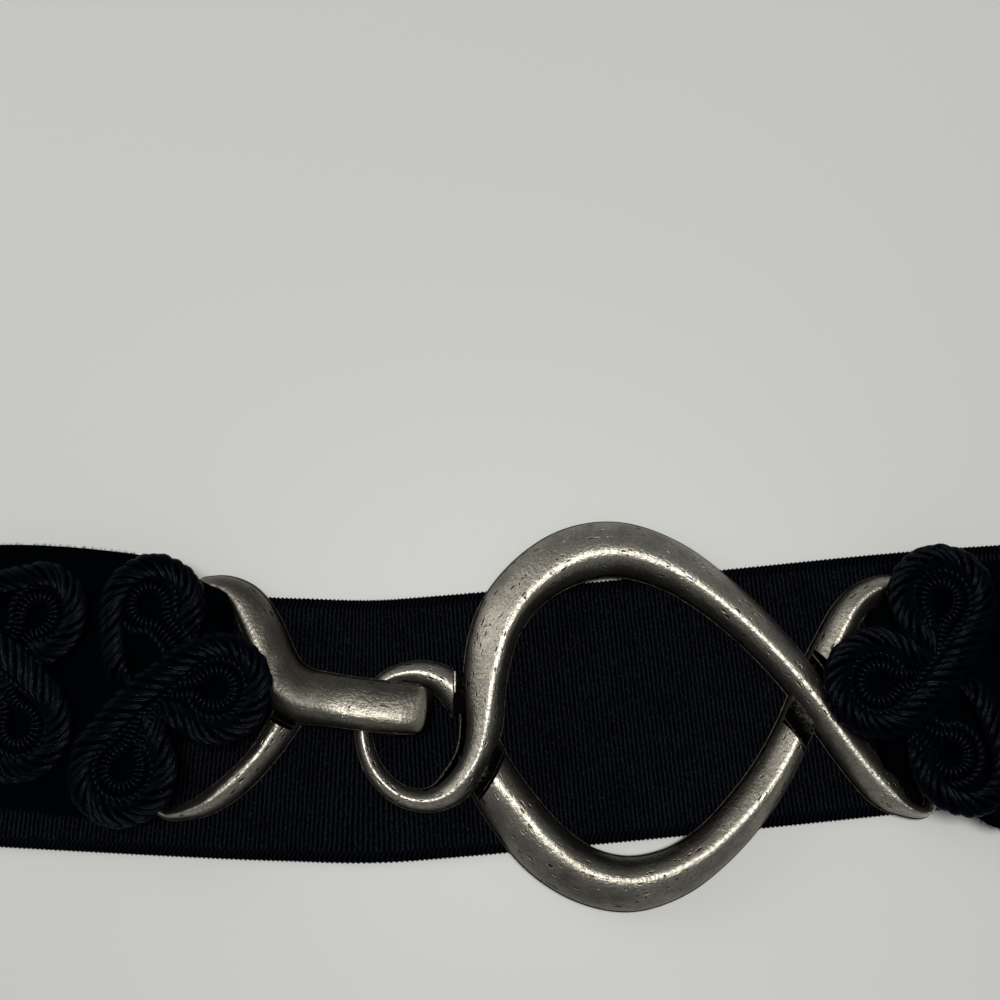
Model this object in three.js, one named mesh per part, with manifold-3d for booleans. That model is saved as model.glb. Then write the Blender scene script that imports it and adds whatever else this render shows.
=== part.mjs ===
// A closed stretch belt lying flat on a table, its hook buckle fastened on top.
// Millimetres, +Z up. The origin is on the flat underside of the back run, below the
// middle of the buckle's big loop. +X runs along the belt to the ring side.

import * as THREE from 'three';
import { mergeVertices } from 'three/addons/utils/BufferGeometryUtils.js';
import Module from 'manifold-3d';

const wasm = await Module();
wasm.setup();

// Driving dimensions
const GAP = 0.3;                // clear space between pieces that touch
const BAND_WIDTH = 50;          // elastic webbing
const BAND_THICK = 1.5;
const STRAP_THICK = 1.4;        // velvet front straps
const STRAP_END_WIDTH = 32;     // strap where it goes round the bar
const FOLD_RADIUS = 5;          // outside of the two end folds
const FOLD_LEFT = -207;         // middle of the left fold
const FOLD_RIGHT = 171;         // middle of the right fold
const FOLD_RUN = 23;            // length in which the front run comes down from a fold
const BAR_RADIUS = 1.5;         // hidden bar that carries a strap
const SEAM = 16;                // overlap of strap and elastic
const RISE_START = 12;          // a strap climbs onto the elastic from here before its end
const RISE_END = 2;             // to here
const TAIL = 22;                // end of a strap that is turned back under the bar
const FALL_START = 3;           // a strap comes down from its bar from here
const FALL_END = 62;            // to here
const FLARE_START = -1;         // a strap widens from here, counted out from the bar
const FLARE_END = 13;           // to here
const LEAN_RUN = 30;            // length in which a strap turns square to its line
const CAST_BASE = BAND_THICK + GAP;
const RING_LIFT = 1.8;          // how far the small ring rides up over the hook's lip
const RING_TILT_FROM = -22;
const RING_TILT_TO = -46;
const LOOP_EDGE = -34.8;        // left edge of the big loop, where the small ring's tip meets it
const TIP_GAP = 1.6;            // step between the small ring's tip and the loop
const TIP_REACH = 5;            // half length of that step, along the loop's edge
const WEB = 2.6;                // thickness of the metal left under a crossing
const WEB_INSET = 0.3;          // its edge lies this far inside the strand's
const HOOK_LIP_WIDTH = 7.4;
const LEAF_RADIUS = 10.8;       // leaf of the braid, from its eye to the rope's outside
const LEAF_STEPS = 15;
const LEAF_POINT = 4;           // power that draws a leaf out to a point
const HEART_OVERLAP = 1;        // how far a leaf's point runs past the heart
const TRIM_SEAT = 0.5;          // room for the rope's stitches above the strap
const ROW_STEPS = 3;            // stations of a cast strand between two rows of its table

const WRAP_RADIUS = BAR_RADIUS + GAP + STRAP_THICK / 2;
const BAR_HEIGHT = CAST_BASE + WRAP_RADIUS + STRAP_THICK / 2;

// Tables

const table = (columns, rows) =>
  rows.map((row) => Object.fromEntries(columns.map((name, i) => [name, row[i]])));

// Middle line of the back run, seen from above.
const BACK_LINE = table(['x', 'y'], [
  [FOLD_LEFT, 4.5], [-165, 2.4], [-122, -0.2], [-84, -2.2], [-66, -2.9], [-52, -3.2], [-38, -2.3],
  [-12, 0], [20, 3], [50, 6], [72, 7.7], [110, 9.7], [FOLD_RIGHT, 10.5],
]);

// Each side of the belt front, from the bar out to the fold. The bar is given by its
// upper and lower end, the line by the middle of the strap.
const LEFT = {
  name: 'left', out: -1, fold: FOLD_LEFT, end: FOLD_LEFT + FOLD_RUN,
  barTop: { x: -85, y: 23 }, barFoot: { x: -88.9, y: -17.6 },
  line: table(['x', 'y'], [
    [-87, 3.2], [-104, 5.6], [-114, 6.7], [-125, 7.2], [-150, 7], [-184, 5.4], [FOLD_LEFT, 4.5],
  ]),
  motifs: [
    { eyes: [[-93.8, 19.6], [-80.6, 3], [-96.2, -10.2]], heart: [-91.4, 3.8] },
    { eyes: [[-115.5, 18.2], [-117.4, -3], [-133.2, 8.8]], heart: [-121, 7.8] },
    { eyes: [[-153, 18.2], [-154.6, -4.2], [-170, 7.4]], heart: [-158.6, 7] },
  ],
};
const RIGHT = {
  name: 'right', out: 1, fold: FOLD_RIGHT, end: FOLD_RIGHT - FOLD_RUN,
  barTop: { x: 52.4, y: 24 }, barFoot: { x: 53.4, y: -17.4 },
  line: table(['x', 'y'], [
    [53, 3], [60, 3.2], [68, 3.6], [84, 5], [105, 7], [148, 9.9], [FOLD_RIGHT, 10.5],
  ]),
  motifs: [
    { eyes: [[56.8, 20.8], [43.8, 5], [56.4, -8]], heart: [53, 6] },
    { eyes: [[78.8, 17], [80.2, -4.6], [96, 7.4]], heart: [84, 6] },
    { eyes: [[116.2, 18.6], [117.6, -3.2], [133.2, 9.2]], heart: [121.6, 7.8] },
  ],
};

// Big strand of the ring buckle: small ring, left side of the loop, over the top and down
// the long diagonal. Ridge is the shift of the crest, in half widths, to the left of travel.
const STRAND = ['x', 'y', 'width', 'ridge', 'height'];
const RING_STRAND = table(STRAND, [
  [-35.9, 5.1, 6.6, 0, 3.6], [-39.3, 6.4, 5.9, 0, 3.3], [-43.8, 7.5, 4.1, 0, 3], [-48.8, 6.1, 3.4, 0, 2.9],
  [-52.6, 1.6, 3.4, 0, 2.9], [-53.3, -4.6, 3.6, 0, 2.9], [-51, -11, 3.8, 0, 3], [-46, -15.6, 3.9, 0, 3.2],
  [-40, -16.5, 4.6, 0, 3.7], [-35.3, -13.9, 6.2, 0, 4.4], [-32.5, -9, 7.2, -0.2, 5.2],
  [-31.1, -2.6, 7.8, -0.35, 5.8], [-30, 6.6, 9, -0.35, 6.4], [-27.8, 16.6, 9.4, -0.25, 6.8],
  [-22.1, 24.6, 9.9, -0.1, 7], [-13.6, 30.1, 10.9, 0, 7], [-4, 31.6, 10.8, 0, 6.9],
  [6, 28.6, 9.8, -0.15, 6.6], [15.2, 22.4, 8.6, -0.25, 6.2], [24, 14.1, 7.8, -0.25, 6],
  [32, 4.5, 7.3, -0.2, 5.9], [39.4, -6.9, 7, -0.1, 5.6], [45.4, -14.6, 6.6, 0, 5.2],
  [49.4, -17.4, 4.4, 0, 4.8], [53, -18.2, 3.2, 0, 4.4],
]);

// Lower strand of the ring buckle: it starts under the loop's left side, runs round the
// bottom, passes under the diagonal and ends at the top of the hidden bar.
const CROSS_STRAND = table(STRAND, [
  [-31.6, -6.5, 8.6, 0, 5.6], [-28.9, -12.4, 9.4, 0.1, 6.4], [-24.4, -19, 10, 0.25, 6.8],
  [-18.6, -25.5, 10.3, 0.25, 7], [-11.2, -30.2, 9.9, 0.2, 7], [-3, -31.8, 9.7, 0.2, 6.8],
  [5.2, -29.8, 8.8, 0.2, 6.6], [12.2, -25.4, 8, 0.1, 6.4], [18.6, -19.2, 7.8, 0, 6.2],
  [24.4, -11.8, 7.4, -0.1, 6], [29, -3.8, 6.9, -0.1, 5.8], [33.4, 5.4, 6.9, 0, 5.6],
  [37.4, 12.8, 6.9, 0, 5.4], [41.2, 19.5, 5.9, 0, 5.2], [46.2, 23.4, 5, 0, 4.8], [53, 24.8, 3.4, 0, 4.4],
]);

// Upper arm and bar of the hook, and the lower arm that passes under it. Base is the
// height of the underside, which lifts to let the small ring pass below the bar.
const HOOK_COLUMNS = [...STRAND, 'base'];
const HOOK_STRAND = table(HOOK_COLUMNS, [
  [-86, 24.2, 3.4, 0, 4.4, 1.8], [-81.4, 24, 4.6, 0, 4.8, 1.8], [-77.6, 21.9, 6.2, 0, 5.2, 1.8],
  [-74.9, 18.4, 7.4, 0, 5.6, 1.8], [-72.8, 14.4, 8, -0.05, 6, 1.8], [-70.8, 10, 8.4, -0.1, 6.3, 1.9],
  [-68.3, 6.2, 8.8, -0.15, 6.4, 2.4], [-64.6, 3.6, 9.4, -0.2, 6, 3.8], [-60, 2.3, 9.3, -0.3, 4.8, 6.1],
  [-55.4, 1.5, 9.4, -0.3, 4.1, 6.9], [-49.6, 0.8, 9.4, -0.3, 4, 6.9], [-43.4, 0.3, 9, -0.2, 3.9, 6.9],
]);
const HOOK_ARM = table(HOOK_COLUMNS, [
  [-66, 2.4, 6, 0, 5, 1.8], [-69.3, -3.1, 5.7, -0.1, 4.9, 1.8], [-72.6, -8.2, 5, -0.1, 4.8, 1.8],
  [-77, -13, 4.9, -0.1, 4.7, 1.8], [-82.4, -17, 4.4, 0, 4.5, 1.8], [-89.6, -18.6, 2.8, 0, 4.4, 1.8],
]);

// Side view of the hook's turned-down end and the lip that lies under the small ring.
const HOOK_END = table(['x', 'z', 'thick'], [
  [-48, 8.7, 3], [-45.2, 8.6, 3], [-43.1, 7.7, 2.7], [-42.4, 5.8, 2.3], [-42.9, 3.9, 2],
  [-44.6, 2.8, 1.8], [-48, 2.57, 1.5], [-53, 2.57, 1.5], [-58, 2.5, 1.3],
]);

// Where one strand passes over another: rows of the upper strand's table from one to the
// next, and how much wider than it the channel is, to the left and right of its travel.
const LOOP_CROSSING = { from: 8, to: 13, left: 2, right: 2.1 };
const DIAGONAL_CROSSING = { from: 18, to: 24, left: 1.8, right: 4.6 };
const HOOK_CROSSING = { from: 5, to: 9, left: 1, right: 3 };

// Half-round section of the cast strands: across in half widths, up in heights.
const CAST_SECTION = table(['across', 'up'], [
  [0.94, 0], [1, 0.16], [0.93, 0.46], [0.72, 0.77], [0.38, 0.95], [0, 1],
  [-0.38, 0.95], [-0.72, 0.77], [-0.93, 0.46], [-1, 0.16], [-0.94, 0],
]);
// Section of a braid leaf, from the rim of its eye over the gimp and the thick rope.
const LEAF_SECTION = table(['out', 'up'], [
  [2.4, 0.6], [3.4, 2.3], [5.9, 2.2], [8.2, 3.6], [10.4, 2.5], [LEAF_RADIUS, 0.9], [9.6, 0], [3.4, 0],
]);
const GROOVE_SECTION = table(['across', 'up'], [[1, 0], [1, 1], [-1, 1], [-1, 0]]);

// Curves

// Smooth curve through the rows, in every column, with some steps between two rows.
function spread(rows, steps) {
  const count = (rows.length - 1) * steps;
  const names = Object.keys(rows[0]);
  const curves = names.map((name) =>
    new THREE.SplineCurve(rows.map((row, i) => new THREE.Vector2(i, row[name]))));
  return Array.from({ length: count + 1 }, (_, k) =>
    Object.fromEntries(names.map((name, i) => [name, curves[i].getPoint(k / count).y])));
}

const castLine = (rows) => spread(rows, ROW_STEPS);

// Value of a line's y at some x, straight between its rows.
function lineY(rows, x) {
  const sorted = [...rows].sort((a, b) => a.x - b.x);
  const below = sorted.filter((row) => row.x < x).length;
  const after = Math.min(Math.max(below, 1), sorted.length - 1);
  const a = sorted[after - 1];
  const b = sorted[after];
  return THREE.MathUtils.mapLinear(x, a.x, b.x, a.y, b.y);
}

const backLine = spread(BACK_LINE, 3);
LEFT.smooth = spread(LEFT.line, 6);
RIGHT.smooth = spread(RIGHT.line, 6);

const barX = (side) => (side.barTop.x + side.barFoot.x) / 2;

// Eases from 0 to 1 while x goes from one place to another.
function ease(x, from, to) {
  return THREE.MathUtils.smoothstep((x - from) / (to - from), 0, 1);
}

// Solids

// Closed skin over rings of points. A closed path joins its last ring to its first.
function loft(rings, closed = false) {
  const sides = rings[0].length;
  const points = rings.flat();
  const index = [];
  const last = closed ? rings.length : rings.length - 1;
  for (let i = 0; i < last; i += 1) {
    for (let j = 0; j < sides; j += 1) {
      const a = i * sides + j;
      const b = i * sides + (j + 1) % sides;
      const c = ((i + 1) % rings.length) * sides + j;
      const d = ((i + 1) % rings.length) * sides + (j + 1) % sides;
      index.push(a, b, d, a, d, c);
    }
  }
  if (!closed) {
    const end = (rings.length - 1) * sides;
    for (let j = 1; j < sides - 1; j += 1) {
      index.push(0, j + 1, j);
      index.push(end, end + j, end + j + 1);
    }
  }
  const numbers = points.flatMap((p) => p.toArray());
  const geometry = new THREE.BufferGeometry();
  geometry.setAttribute('position', new THREE.Float32BufferAttribute(numbers, 3));
  geometry.setIndex(volume(points, index) < 0 ? index.reverse() : index);
  return geometry;
}

function volume(points, index) {
  let sum = 0;
  for (let i = 0; i < index.length; i += 3) {
    const [a, b, c] = [points[index[i]], points[index[i + 1]], points[index[i + 2]]];
    sum += a.dot(b.clone().cross(c)) / 6;
  }
  return sum;
}

function solid(geometry) {
  const bare = geometry.clone();
  bare.deleteAttribute('normal');
  bare.deleteAttribute('uv');
  const merged = mergeVertices(bare, 1e-4);
  return new wasm.Manifold(new wasm.Mesh({
    numProp: 3,
    vertProperties: new Float32Array(merged.attributes.position.array),
    triVerts: new Uint32Array(merged.index.array),
  }));
}

function fromSolid(manifold) {
  const mesh = manifold.getMesh();
  const geometry = new THREE.BufferGeometry();
  geometry.setAttribute('position', new THREE.BufferAttribute(mesh.vertProperties, 3));
  geometry.setIndex(new THREE.BufferAttribute(mesh.triVerts, 1));
  return geometry;
}

// Direction of travel at each station, from its neighbours.
function headings(points, closed = false) {
  const n = points.length;
  return points.map((_, i) => {
    const before = closed ? points[(i + n - 1) % n] : points[Math.max(i - 1, 0)];
    const after = closed ? points[(i + 1) % n] : points[Math.min(i + 1, n - 1)];
    return after.clone().sub(before).normalize();
  });
}

// Flat strip: stations give the middle, the width, the thickness and the lean of the
// cross line from Y.
function strip(stations) {
  const middles = stations.map((s) => new THREE.Vector3(s.x, s.y, s.z));
  const ways = headings(middles);
  return loft(stations.map((s, i) => {
    const across = new THREE.Vector3(s.lean, 1, 0).normalize();
    const up = ways[i].clone().cross(across).normalize().multiplyScalar(s.thick / 2);
    across.multiplyScalar(s.width / 2);
    return [[1, 1], [-1, 1], [-1, -1], [1, -1]].map(([u, v]) =>
      middles[i].clone().addScaledVector(across, u).addScaledVector(up, v));
  }));
}

// Cast strand with a half-round section that follows a line seen from above.
function strand(stations, section = CAST_SECTION) {
  const middles = stations.map((s) => new THREE.Vector3(s.x, s.y, 0));
  const ways = headings(middles);
  return loft(stations.map((s, i) => {
    const left = new THREE.Vector3(-ways[i].y, ways[i].x, 0).multiplyScalar(s.width / 2);
    return section.map(({ across, up }) => {
      const crest = s.ridge * up * (1 - across * across);
      const point = middles[i].clone().addScaledVector(left, across + crest);
      point.z = s.base + s.height * up;
      return point;
    });
  }));
}

function barBetween(top, foot) {
  const a = new THREE.Vector3(top.x, top.y, BAR_HEIGHT);
  const b = new THREE.Vector3(foot.x, foot.y, BAR_HEIGHT);
  const geometry = new THREE.CylinderGeometry(BAR_RADIUS, BAR_RADIUS, a.distanceTo(b), 12);
  const turn = new THREE.Quaternion().setFromUnitVectors(
    new THREE.Vector3(0, 1, 0), a.clone().sub(b).normalize());
  geometry.applyQuaternion(turn);
  geometry.translate((a.x + b.x) / 2, (a.y + b.y) / 2, BAR_HEIGHT);
  return geometry;
}

// The ring buckle lies a little tilted: its small ring rides on the hook's lip.
function ringBase(x) {
  const share = (x - RING_TILT_FROM) / (RING_TILT_TO - RING_TILT_FROM);
  return CAST_BASE + RING_LIFT * THREE.MathUtils.clamp(share, 0, 1);
}

// Channel that a crossing strand leaves in the strand under it, from the web upwards.
function groove(line, { from, to, left, right }) {
  const stations = line.slice(from * ROW_STEPS, to * ROW_STEPS);
  const ways = headings(stations.map((s) => new THREE.Vector3(s.x, s.y, 0)));
  const shift = (left - right) / 2;
  return strand(stations.map((s, i) => ({
    ...s, x: s.x - ways[i].y * shift, y: s.y + ways[i].x * shift,
    ridge: 0, width: s.width + left + right, base: s.base + WEB, height: 2 * s.height,
  })), GROOVE_SECTION);
}

// Block from one corner to the other.
function block(min, max) {
  const size = max.clone().sub(min);
  const middle = min.clone().add(max).divideScalar(2);
  return new THREE.BoxGeometry(...size.toArray()).translate(...middle.toArray());
}

// Pieces

function ringBuckle() {
  const onRing = (s) => ({ ...s, base: ringBase(s.x) });
  const main = castLine(RING_STRAND).map(onRing);
  const cross = castLine(CROSS_STRAND).map(onRing);
  const tip = main[0];
  const step = block(
    new THREE.Vector3(LOOP_EDGE - TIP_GAP, tip.y - TIP_REACH, tip.base + WEB),
    new THREE.Vector3(LOOP_EDGE, tip.y + TIP_REACH, tip.base + 3 * WEB));
  const webHalf = tip.width / 2 - WEB_INSET;
  const web = block(
    new THREE.Vector3(LOOP_EDGE - 2 * TIP_GAP, tip.y - webHalf, tip.base + WEB_INSET),
    new THREE.Vector3(LOOP_EDGE + TIP_GAP, tip.y + webHalf, tip.base + WEB));
  const upper = solid(strand(main)).subtract(solid(step)).add(solid(web));
  const under = solid(strand(cross))
    .subtract(solid(groove(main, LOOP_CROSSING)))
    .subtract(solid(groove(main, DIAGONAL_CROSSING)));
  return fromSolid(upper.add(under).add(solid(barBetween(RIGHT.barTop, RIGHT.barFoot))));
}

function hookBuckle() {
  const main = castLine(HOOK_STRAND);
  const onTable = main.map((s) => ({ ...s, base: CAST_BASE }));
  const lip = castLine(HOOK_END).map((s) => ({
    ...s, y: HOOK_STRAND.at(-1).y, lean: 0, width: HOOK_LIP_WIDTH,
  }));
  const under = solid(strand(castLine(HOOK_ARM))).subtract(solid(groove(onTable, HOOK_CROSSING)));
  const bar = solid(barBetween(LEFT.barTop, LEFT.barFoot));
  return fromSolid(solid(strand(main)).add(under).add(solid(strip(lip))).add(bar));
}

// Elastic: right front end, right fold, back run, left fold, left front end.
function frontRun(side) {
  const low = CAST_BASE + BAND_THICK / 2;
  const high = 2 * FOLD_RADIUS - BAND_THICK / 2;
  const start = side.end - side.out * SEAM;
  const steps = 16;
  return Array.from({ length: steps }, (_, i) => {
    const x = THREE.MathUtils.lerp(start, side.fold, i / steps);
    return { x, y: lineY(side.smooth, x), z: THREE.MathUtils.lerp(low, high, ease(x, side.end, side.fold)) };
  });
}

function foldRun(side) {
  const steps = 12;
  const radius = FOLD_RADIUS - BAND_THICK / 2;
  return Array.from({ length: steps + 1 }, (_, i) => {
    const angle = Math.PI * i / steps;
    return {
      x: side.fold + side.out * radius * Math.sin(angle),
      y: lineY(backLine, side.fold),
      z: FOLD_RADIUS + radius * Math.cos(angle),
    };
  });
}

function stretchBand() {
  const back = backLine.slice(1, -1).map(({ x, y }) => ({ x, y, z: BAND_THICK / 2 }));
  const rightEnd = [...frontRun(RIGHT), ...foldRun(RIGHT)];
  const leftEnd = [...frontRun(LEFT), ...foldRun(LEFT)];
  const path = [...rightEnd, ...back.reverse(), ...leftEnd.reverse()];
  return strip(path.map((s) => ({ ...s, lean: 0, width: BAND_WIDTH, thick: BAND_THICK })));
}

// Height of a strap's middle away from the bar: down to the back run, then up over the
// end of the elastic that it is sewn to.
function strapHeight(side, x) {
  const bar = barX(side);
  const rest = CAST_BASE + STRAP_THICK / 2;
  const over = rest + BAND_THICK + GAP;
  const top = BAR_HEIGHT + WRAP_RADIUS;
  const elasticEnd = side.end - side.out * SEAM;
  const down = ease(x, bar + side.out * FALL_START, bar + side.out * FALL_END);
  const up = ease(x, elasticEnd - side.out * RISE_START, elasticEnd - side.out * RISE_END);
  return THREE.MathUtils.lerp(THREE.MathUtils.lerp(top, rest, down), over, up);
}

// The cut of a strap: full width, narrowed in a curve near the bar.
function strapWidth(side, x) {
  const bar = barX(side);
  const flare = ease(x, bar + side.out * FLARE_START, bar + side.out * FLARE_END);
  return THREE.MathUtils.lerp(STRAP_END_WIDTH, BAND_WIDTH, flare);
}

function frontStrap(side) {
  const bar = barX(side);
  const lean = (side.barTop.x - side.barFoot.x) / (side.barTop.y - side.barFoot.y);
  const onLine = (x) => ({ x, y: lineY(side.smooth, x), lean, width: STRAP_END_WIDTH, thick: STRAP_THICK });
  const upperSteps = 30;
  const upper = Array.from({ length: upperSteps + 1 }, (_, i) => {
    const x = THREE.MathUtils.lerp(side.end, bar, i / upperSteps);
    const square = ease(x, bar, bar + side.out * LEAN_RUN);
    return { ...onLine(x), z: strapHeight(side, x), width: strapWidth(side, x), lean: lean * (1 - square) };
  });
  const wrapSteps = 10;
  const wrap = Array.from({ length: wrapSteps }, (_, i) => {
    const angle = Math.PI * (i + 1) / wrapSteps;
    const x = bar - side.out * WRAP_RADIUS * Math.sin(angle);
    return { ...onLine(bar), x, z: BAR_HEIGHT + WRAP_RADIUS * Math.cos(angle) };
  });
  const tailSteps = 4;
  const tail = Array.from({ length: tailSteps }, (_, i) => {
    const x = bar + side.out * TAIL * (i + 1) / tailSteps;
    return { ...onLine(x), z: BAR_HEIGHT - WRAP_RADIUS };
  });
  return strip([...upper, ...wrap, ...tail]);
}

// One leaf of a trefoil: a raised ring round its eye, drawn out to a point at the heart.
function leaf([eyeX, eyeY], [heartX, heartY], seat) {
  const toHeart = Math.atan2(heartY - eyeY, heartX - eyeX);
  const length = Math.hypot(heartX - eyeX, heartY - eyeY) + HEART_OVERLAP;
  const stretch = Math.max(length - LEAF_RADIUS, 0) / LEAF_RADIUS;
  return loft(Array.from({ length: LEAF_STEPS }, (_, i) => {
    const angle = 2 * Math.PI * i / LEAF_STEPS;
    const pull = Math.max(Math.cos(angle), 0) ** LEAF_POINT * stretch;
    return LEAF_SECTION.map(({ out, up }) => {
      const x = eyeX + out * (1 + pull) * Math.cos(angle + toHeart);
      const y = eyeY + out * (1 + pull) * Math.sin(angle + toHeart);
      return new THREE.Vector3(x, y, seat(x) + up);
    });
  }), true);
}

function trefoil(side, { eyes, heart }) {
  const onStrap = (x) => side.out * Math.max(side.out * x, side.out * barX(side));
  const seat = (x) => strapHeight(side, onStrap(x)) + STRAP_THICK / 2 + TRIM_SEAT;
  const leaves = eyes.map((eye) => solid(leaf(eye, heart, seat)));
  return fromSolid(leaves.reduce((sum, part) => sum.add(part)));
}

// Finishes
const finishes = {
  silver: { color: 0x96908a, metalness: 0.9, roughness: 0.34 },
  elastic: { color: 0x0c1018, metalness: 0, roughness: 0.85 },
  velvet: { color: 0x05070c, metalness: 0, roughness: 0.95 },
  cord: { color: 0x0a1024, metalness: 0, roughness: 0.6 },
};

function piece(name, geometry, finish) {
  const mesh = new THREE.Mesh(geometry, new THREE.MeshStandardMaterial(finishes[finish]));
  mesh.name = name;
  return mesh;
}

const group = new THREE.Group();
group.add(piece('stretch_band', stretchBand(), 'elastic'));
group.add(piece('hook_buckle', hookBuckle(), 'silver'));
group.add(piece('ring_buckle', ringBuckle(), 'silver'));
for (const side of [LEFT, RIGHT]) {
  group.add(piece(`${side.name}_front_strap`, frontStrap(side), 'velvet'));
  side.motifs.forEach((motif, i) => {
    group.add(piece(`${side.name}_trim_${i + 1}`, trefoil(side, motif), 'cord'));
  });
}

export default group;
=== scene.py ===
# %% [markdown]
# # A stretch belt with a cast hook buckle
# The belt lies flat on a table as a closed loop: wide black elastic goes round the back, a
# velvet strap leads from each fold to the buckle, and navy cord is sewn to the velvet in
# trefoils. The buckle is cast metal with a worn antique silver finish.
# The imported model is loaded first. It is the fixed frame that every piece is built around,
# so each piece below is made at its own place, with lengths in millimetres times MM.

# %% Load the frame
import math
import random

import bmesh
import bpy
import numpy as np
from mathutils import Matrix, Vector


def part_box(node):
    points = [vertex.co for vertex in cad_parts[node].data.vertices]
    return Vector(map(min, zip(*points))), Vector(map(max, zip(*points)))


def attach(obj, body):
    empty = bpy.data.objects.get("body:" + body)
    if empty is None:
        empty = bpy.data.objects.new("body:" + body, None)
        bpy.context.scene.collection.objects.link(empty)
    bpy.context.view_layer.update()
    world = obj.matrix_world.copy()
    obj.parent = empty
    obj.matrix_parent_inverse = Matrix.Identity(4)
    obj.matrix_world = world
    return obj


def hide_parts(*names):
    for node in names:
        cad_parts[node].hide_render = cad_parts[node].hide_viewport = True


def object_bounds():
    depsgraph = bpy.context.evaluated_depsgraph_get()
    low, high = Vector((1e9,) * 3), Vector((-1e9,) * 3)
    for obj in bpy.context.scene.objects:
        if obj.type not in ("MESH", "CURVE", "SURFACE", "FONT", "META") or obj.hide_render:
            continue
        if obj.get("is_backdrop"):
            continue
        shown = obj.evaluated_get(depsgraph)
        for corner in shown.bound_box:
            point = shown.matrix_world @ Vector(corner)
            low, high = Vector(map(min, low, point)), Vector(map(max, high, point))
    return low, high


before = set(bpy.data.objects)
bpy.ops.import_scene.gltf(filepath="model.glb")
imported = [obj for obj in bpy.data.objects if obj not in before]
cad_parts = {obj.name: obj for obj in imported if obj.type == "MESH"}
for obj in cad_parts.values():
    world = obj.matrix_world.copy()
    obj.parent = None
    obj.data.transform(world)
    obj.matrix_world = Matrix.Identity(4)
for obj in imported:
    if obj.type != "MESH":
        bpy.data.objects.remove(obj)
cad_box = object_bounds()
MM = 0.001

for name in sorted(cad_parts):
    low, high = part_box(name)
    print(name, [round(v / MM, 1) for v in (*low, *high)])

# %% [markdown]
# ## Camera
# The photograph was taken from almost straight above, tipped twelve degrees towards the
# reader. A tipped view could be had by turning the belt, but the belt has to stay where the
# frame has it, so the camera is turned instead, with no lens shift and no blur.

# %% Make the camera
CAMERA_PLACE = Vector((-27.224, -8.479, 238.177)) * MM
CAMERA_TILT = math.radians(12)
FIELD_OF_VIEW = math.radians(45)
SENSOR_WIDTH = 36

camera = bpy.data.objects.new("camera", bpy.data.cameras.new("camera"))
camera.location = CAMERA_PLACE
camera.rotation_euler = (CAMERA_TILT, 0, 0)
camera.data.sensor_width = SENSOR_WIDTH
camera.data.lens = SENSOR_WIDTH / 2 / math.tan(FIELD_OF_VIEW / 2)
camera.data.clip_start = 0.01
bpy.context.scene.collection.objects.link(camera)
bpy.context.scene.camera = camera
print("lens", round(camera.data.lens, 2), "mm")

# %% [markdown]
# ## Shader maths
# A finish is a sum of patterns. Drawing them node by node makes long lists, so one small
# class wraps a socket and lets Python's own operators add the Math nodes. One method adds
# every other kind of node: its settings first, then the values or links of its sockets.


# %% A socket that does maths
class Signal:
    """A node's output that can be used in a Python expression."""

    def __init__(self, finish, socket):
        self.finish = finish
        self.socket = socket

    def __add__(self, other):
        return self.finish.maths("ADD", self, other)

    def __sub__(self, other):
        return self.finish.maths("SUBTRACT", self, other)

    def __rsub__(self, other):
        return self.finish.maths("SUBTRACT", other, self)

    def __mul__(self, other):
        return self.finish.maths("MULTIPLY", self, other)

    def __truediv__(self, other):
        return self.finish.maths("DIVIDE", self, other)

    def __pow__(self, other):
        return self.finish.maths("POWER", self, other)

    __radd__ = __add__
    __rmul__ = __mul__


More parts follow.
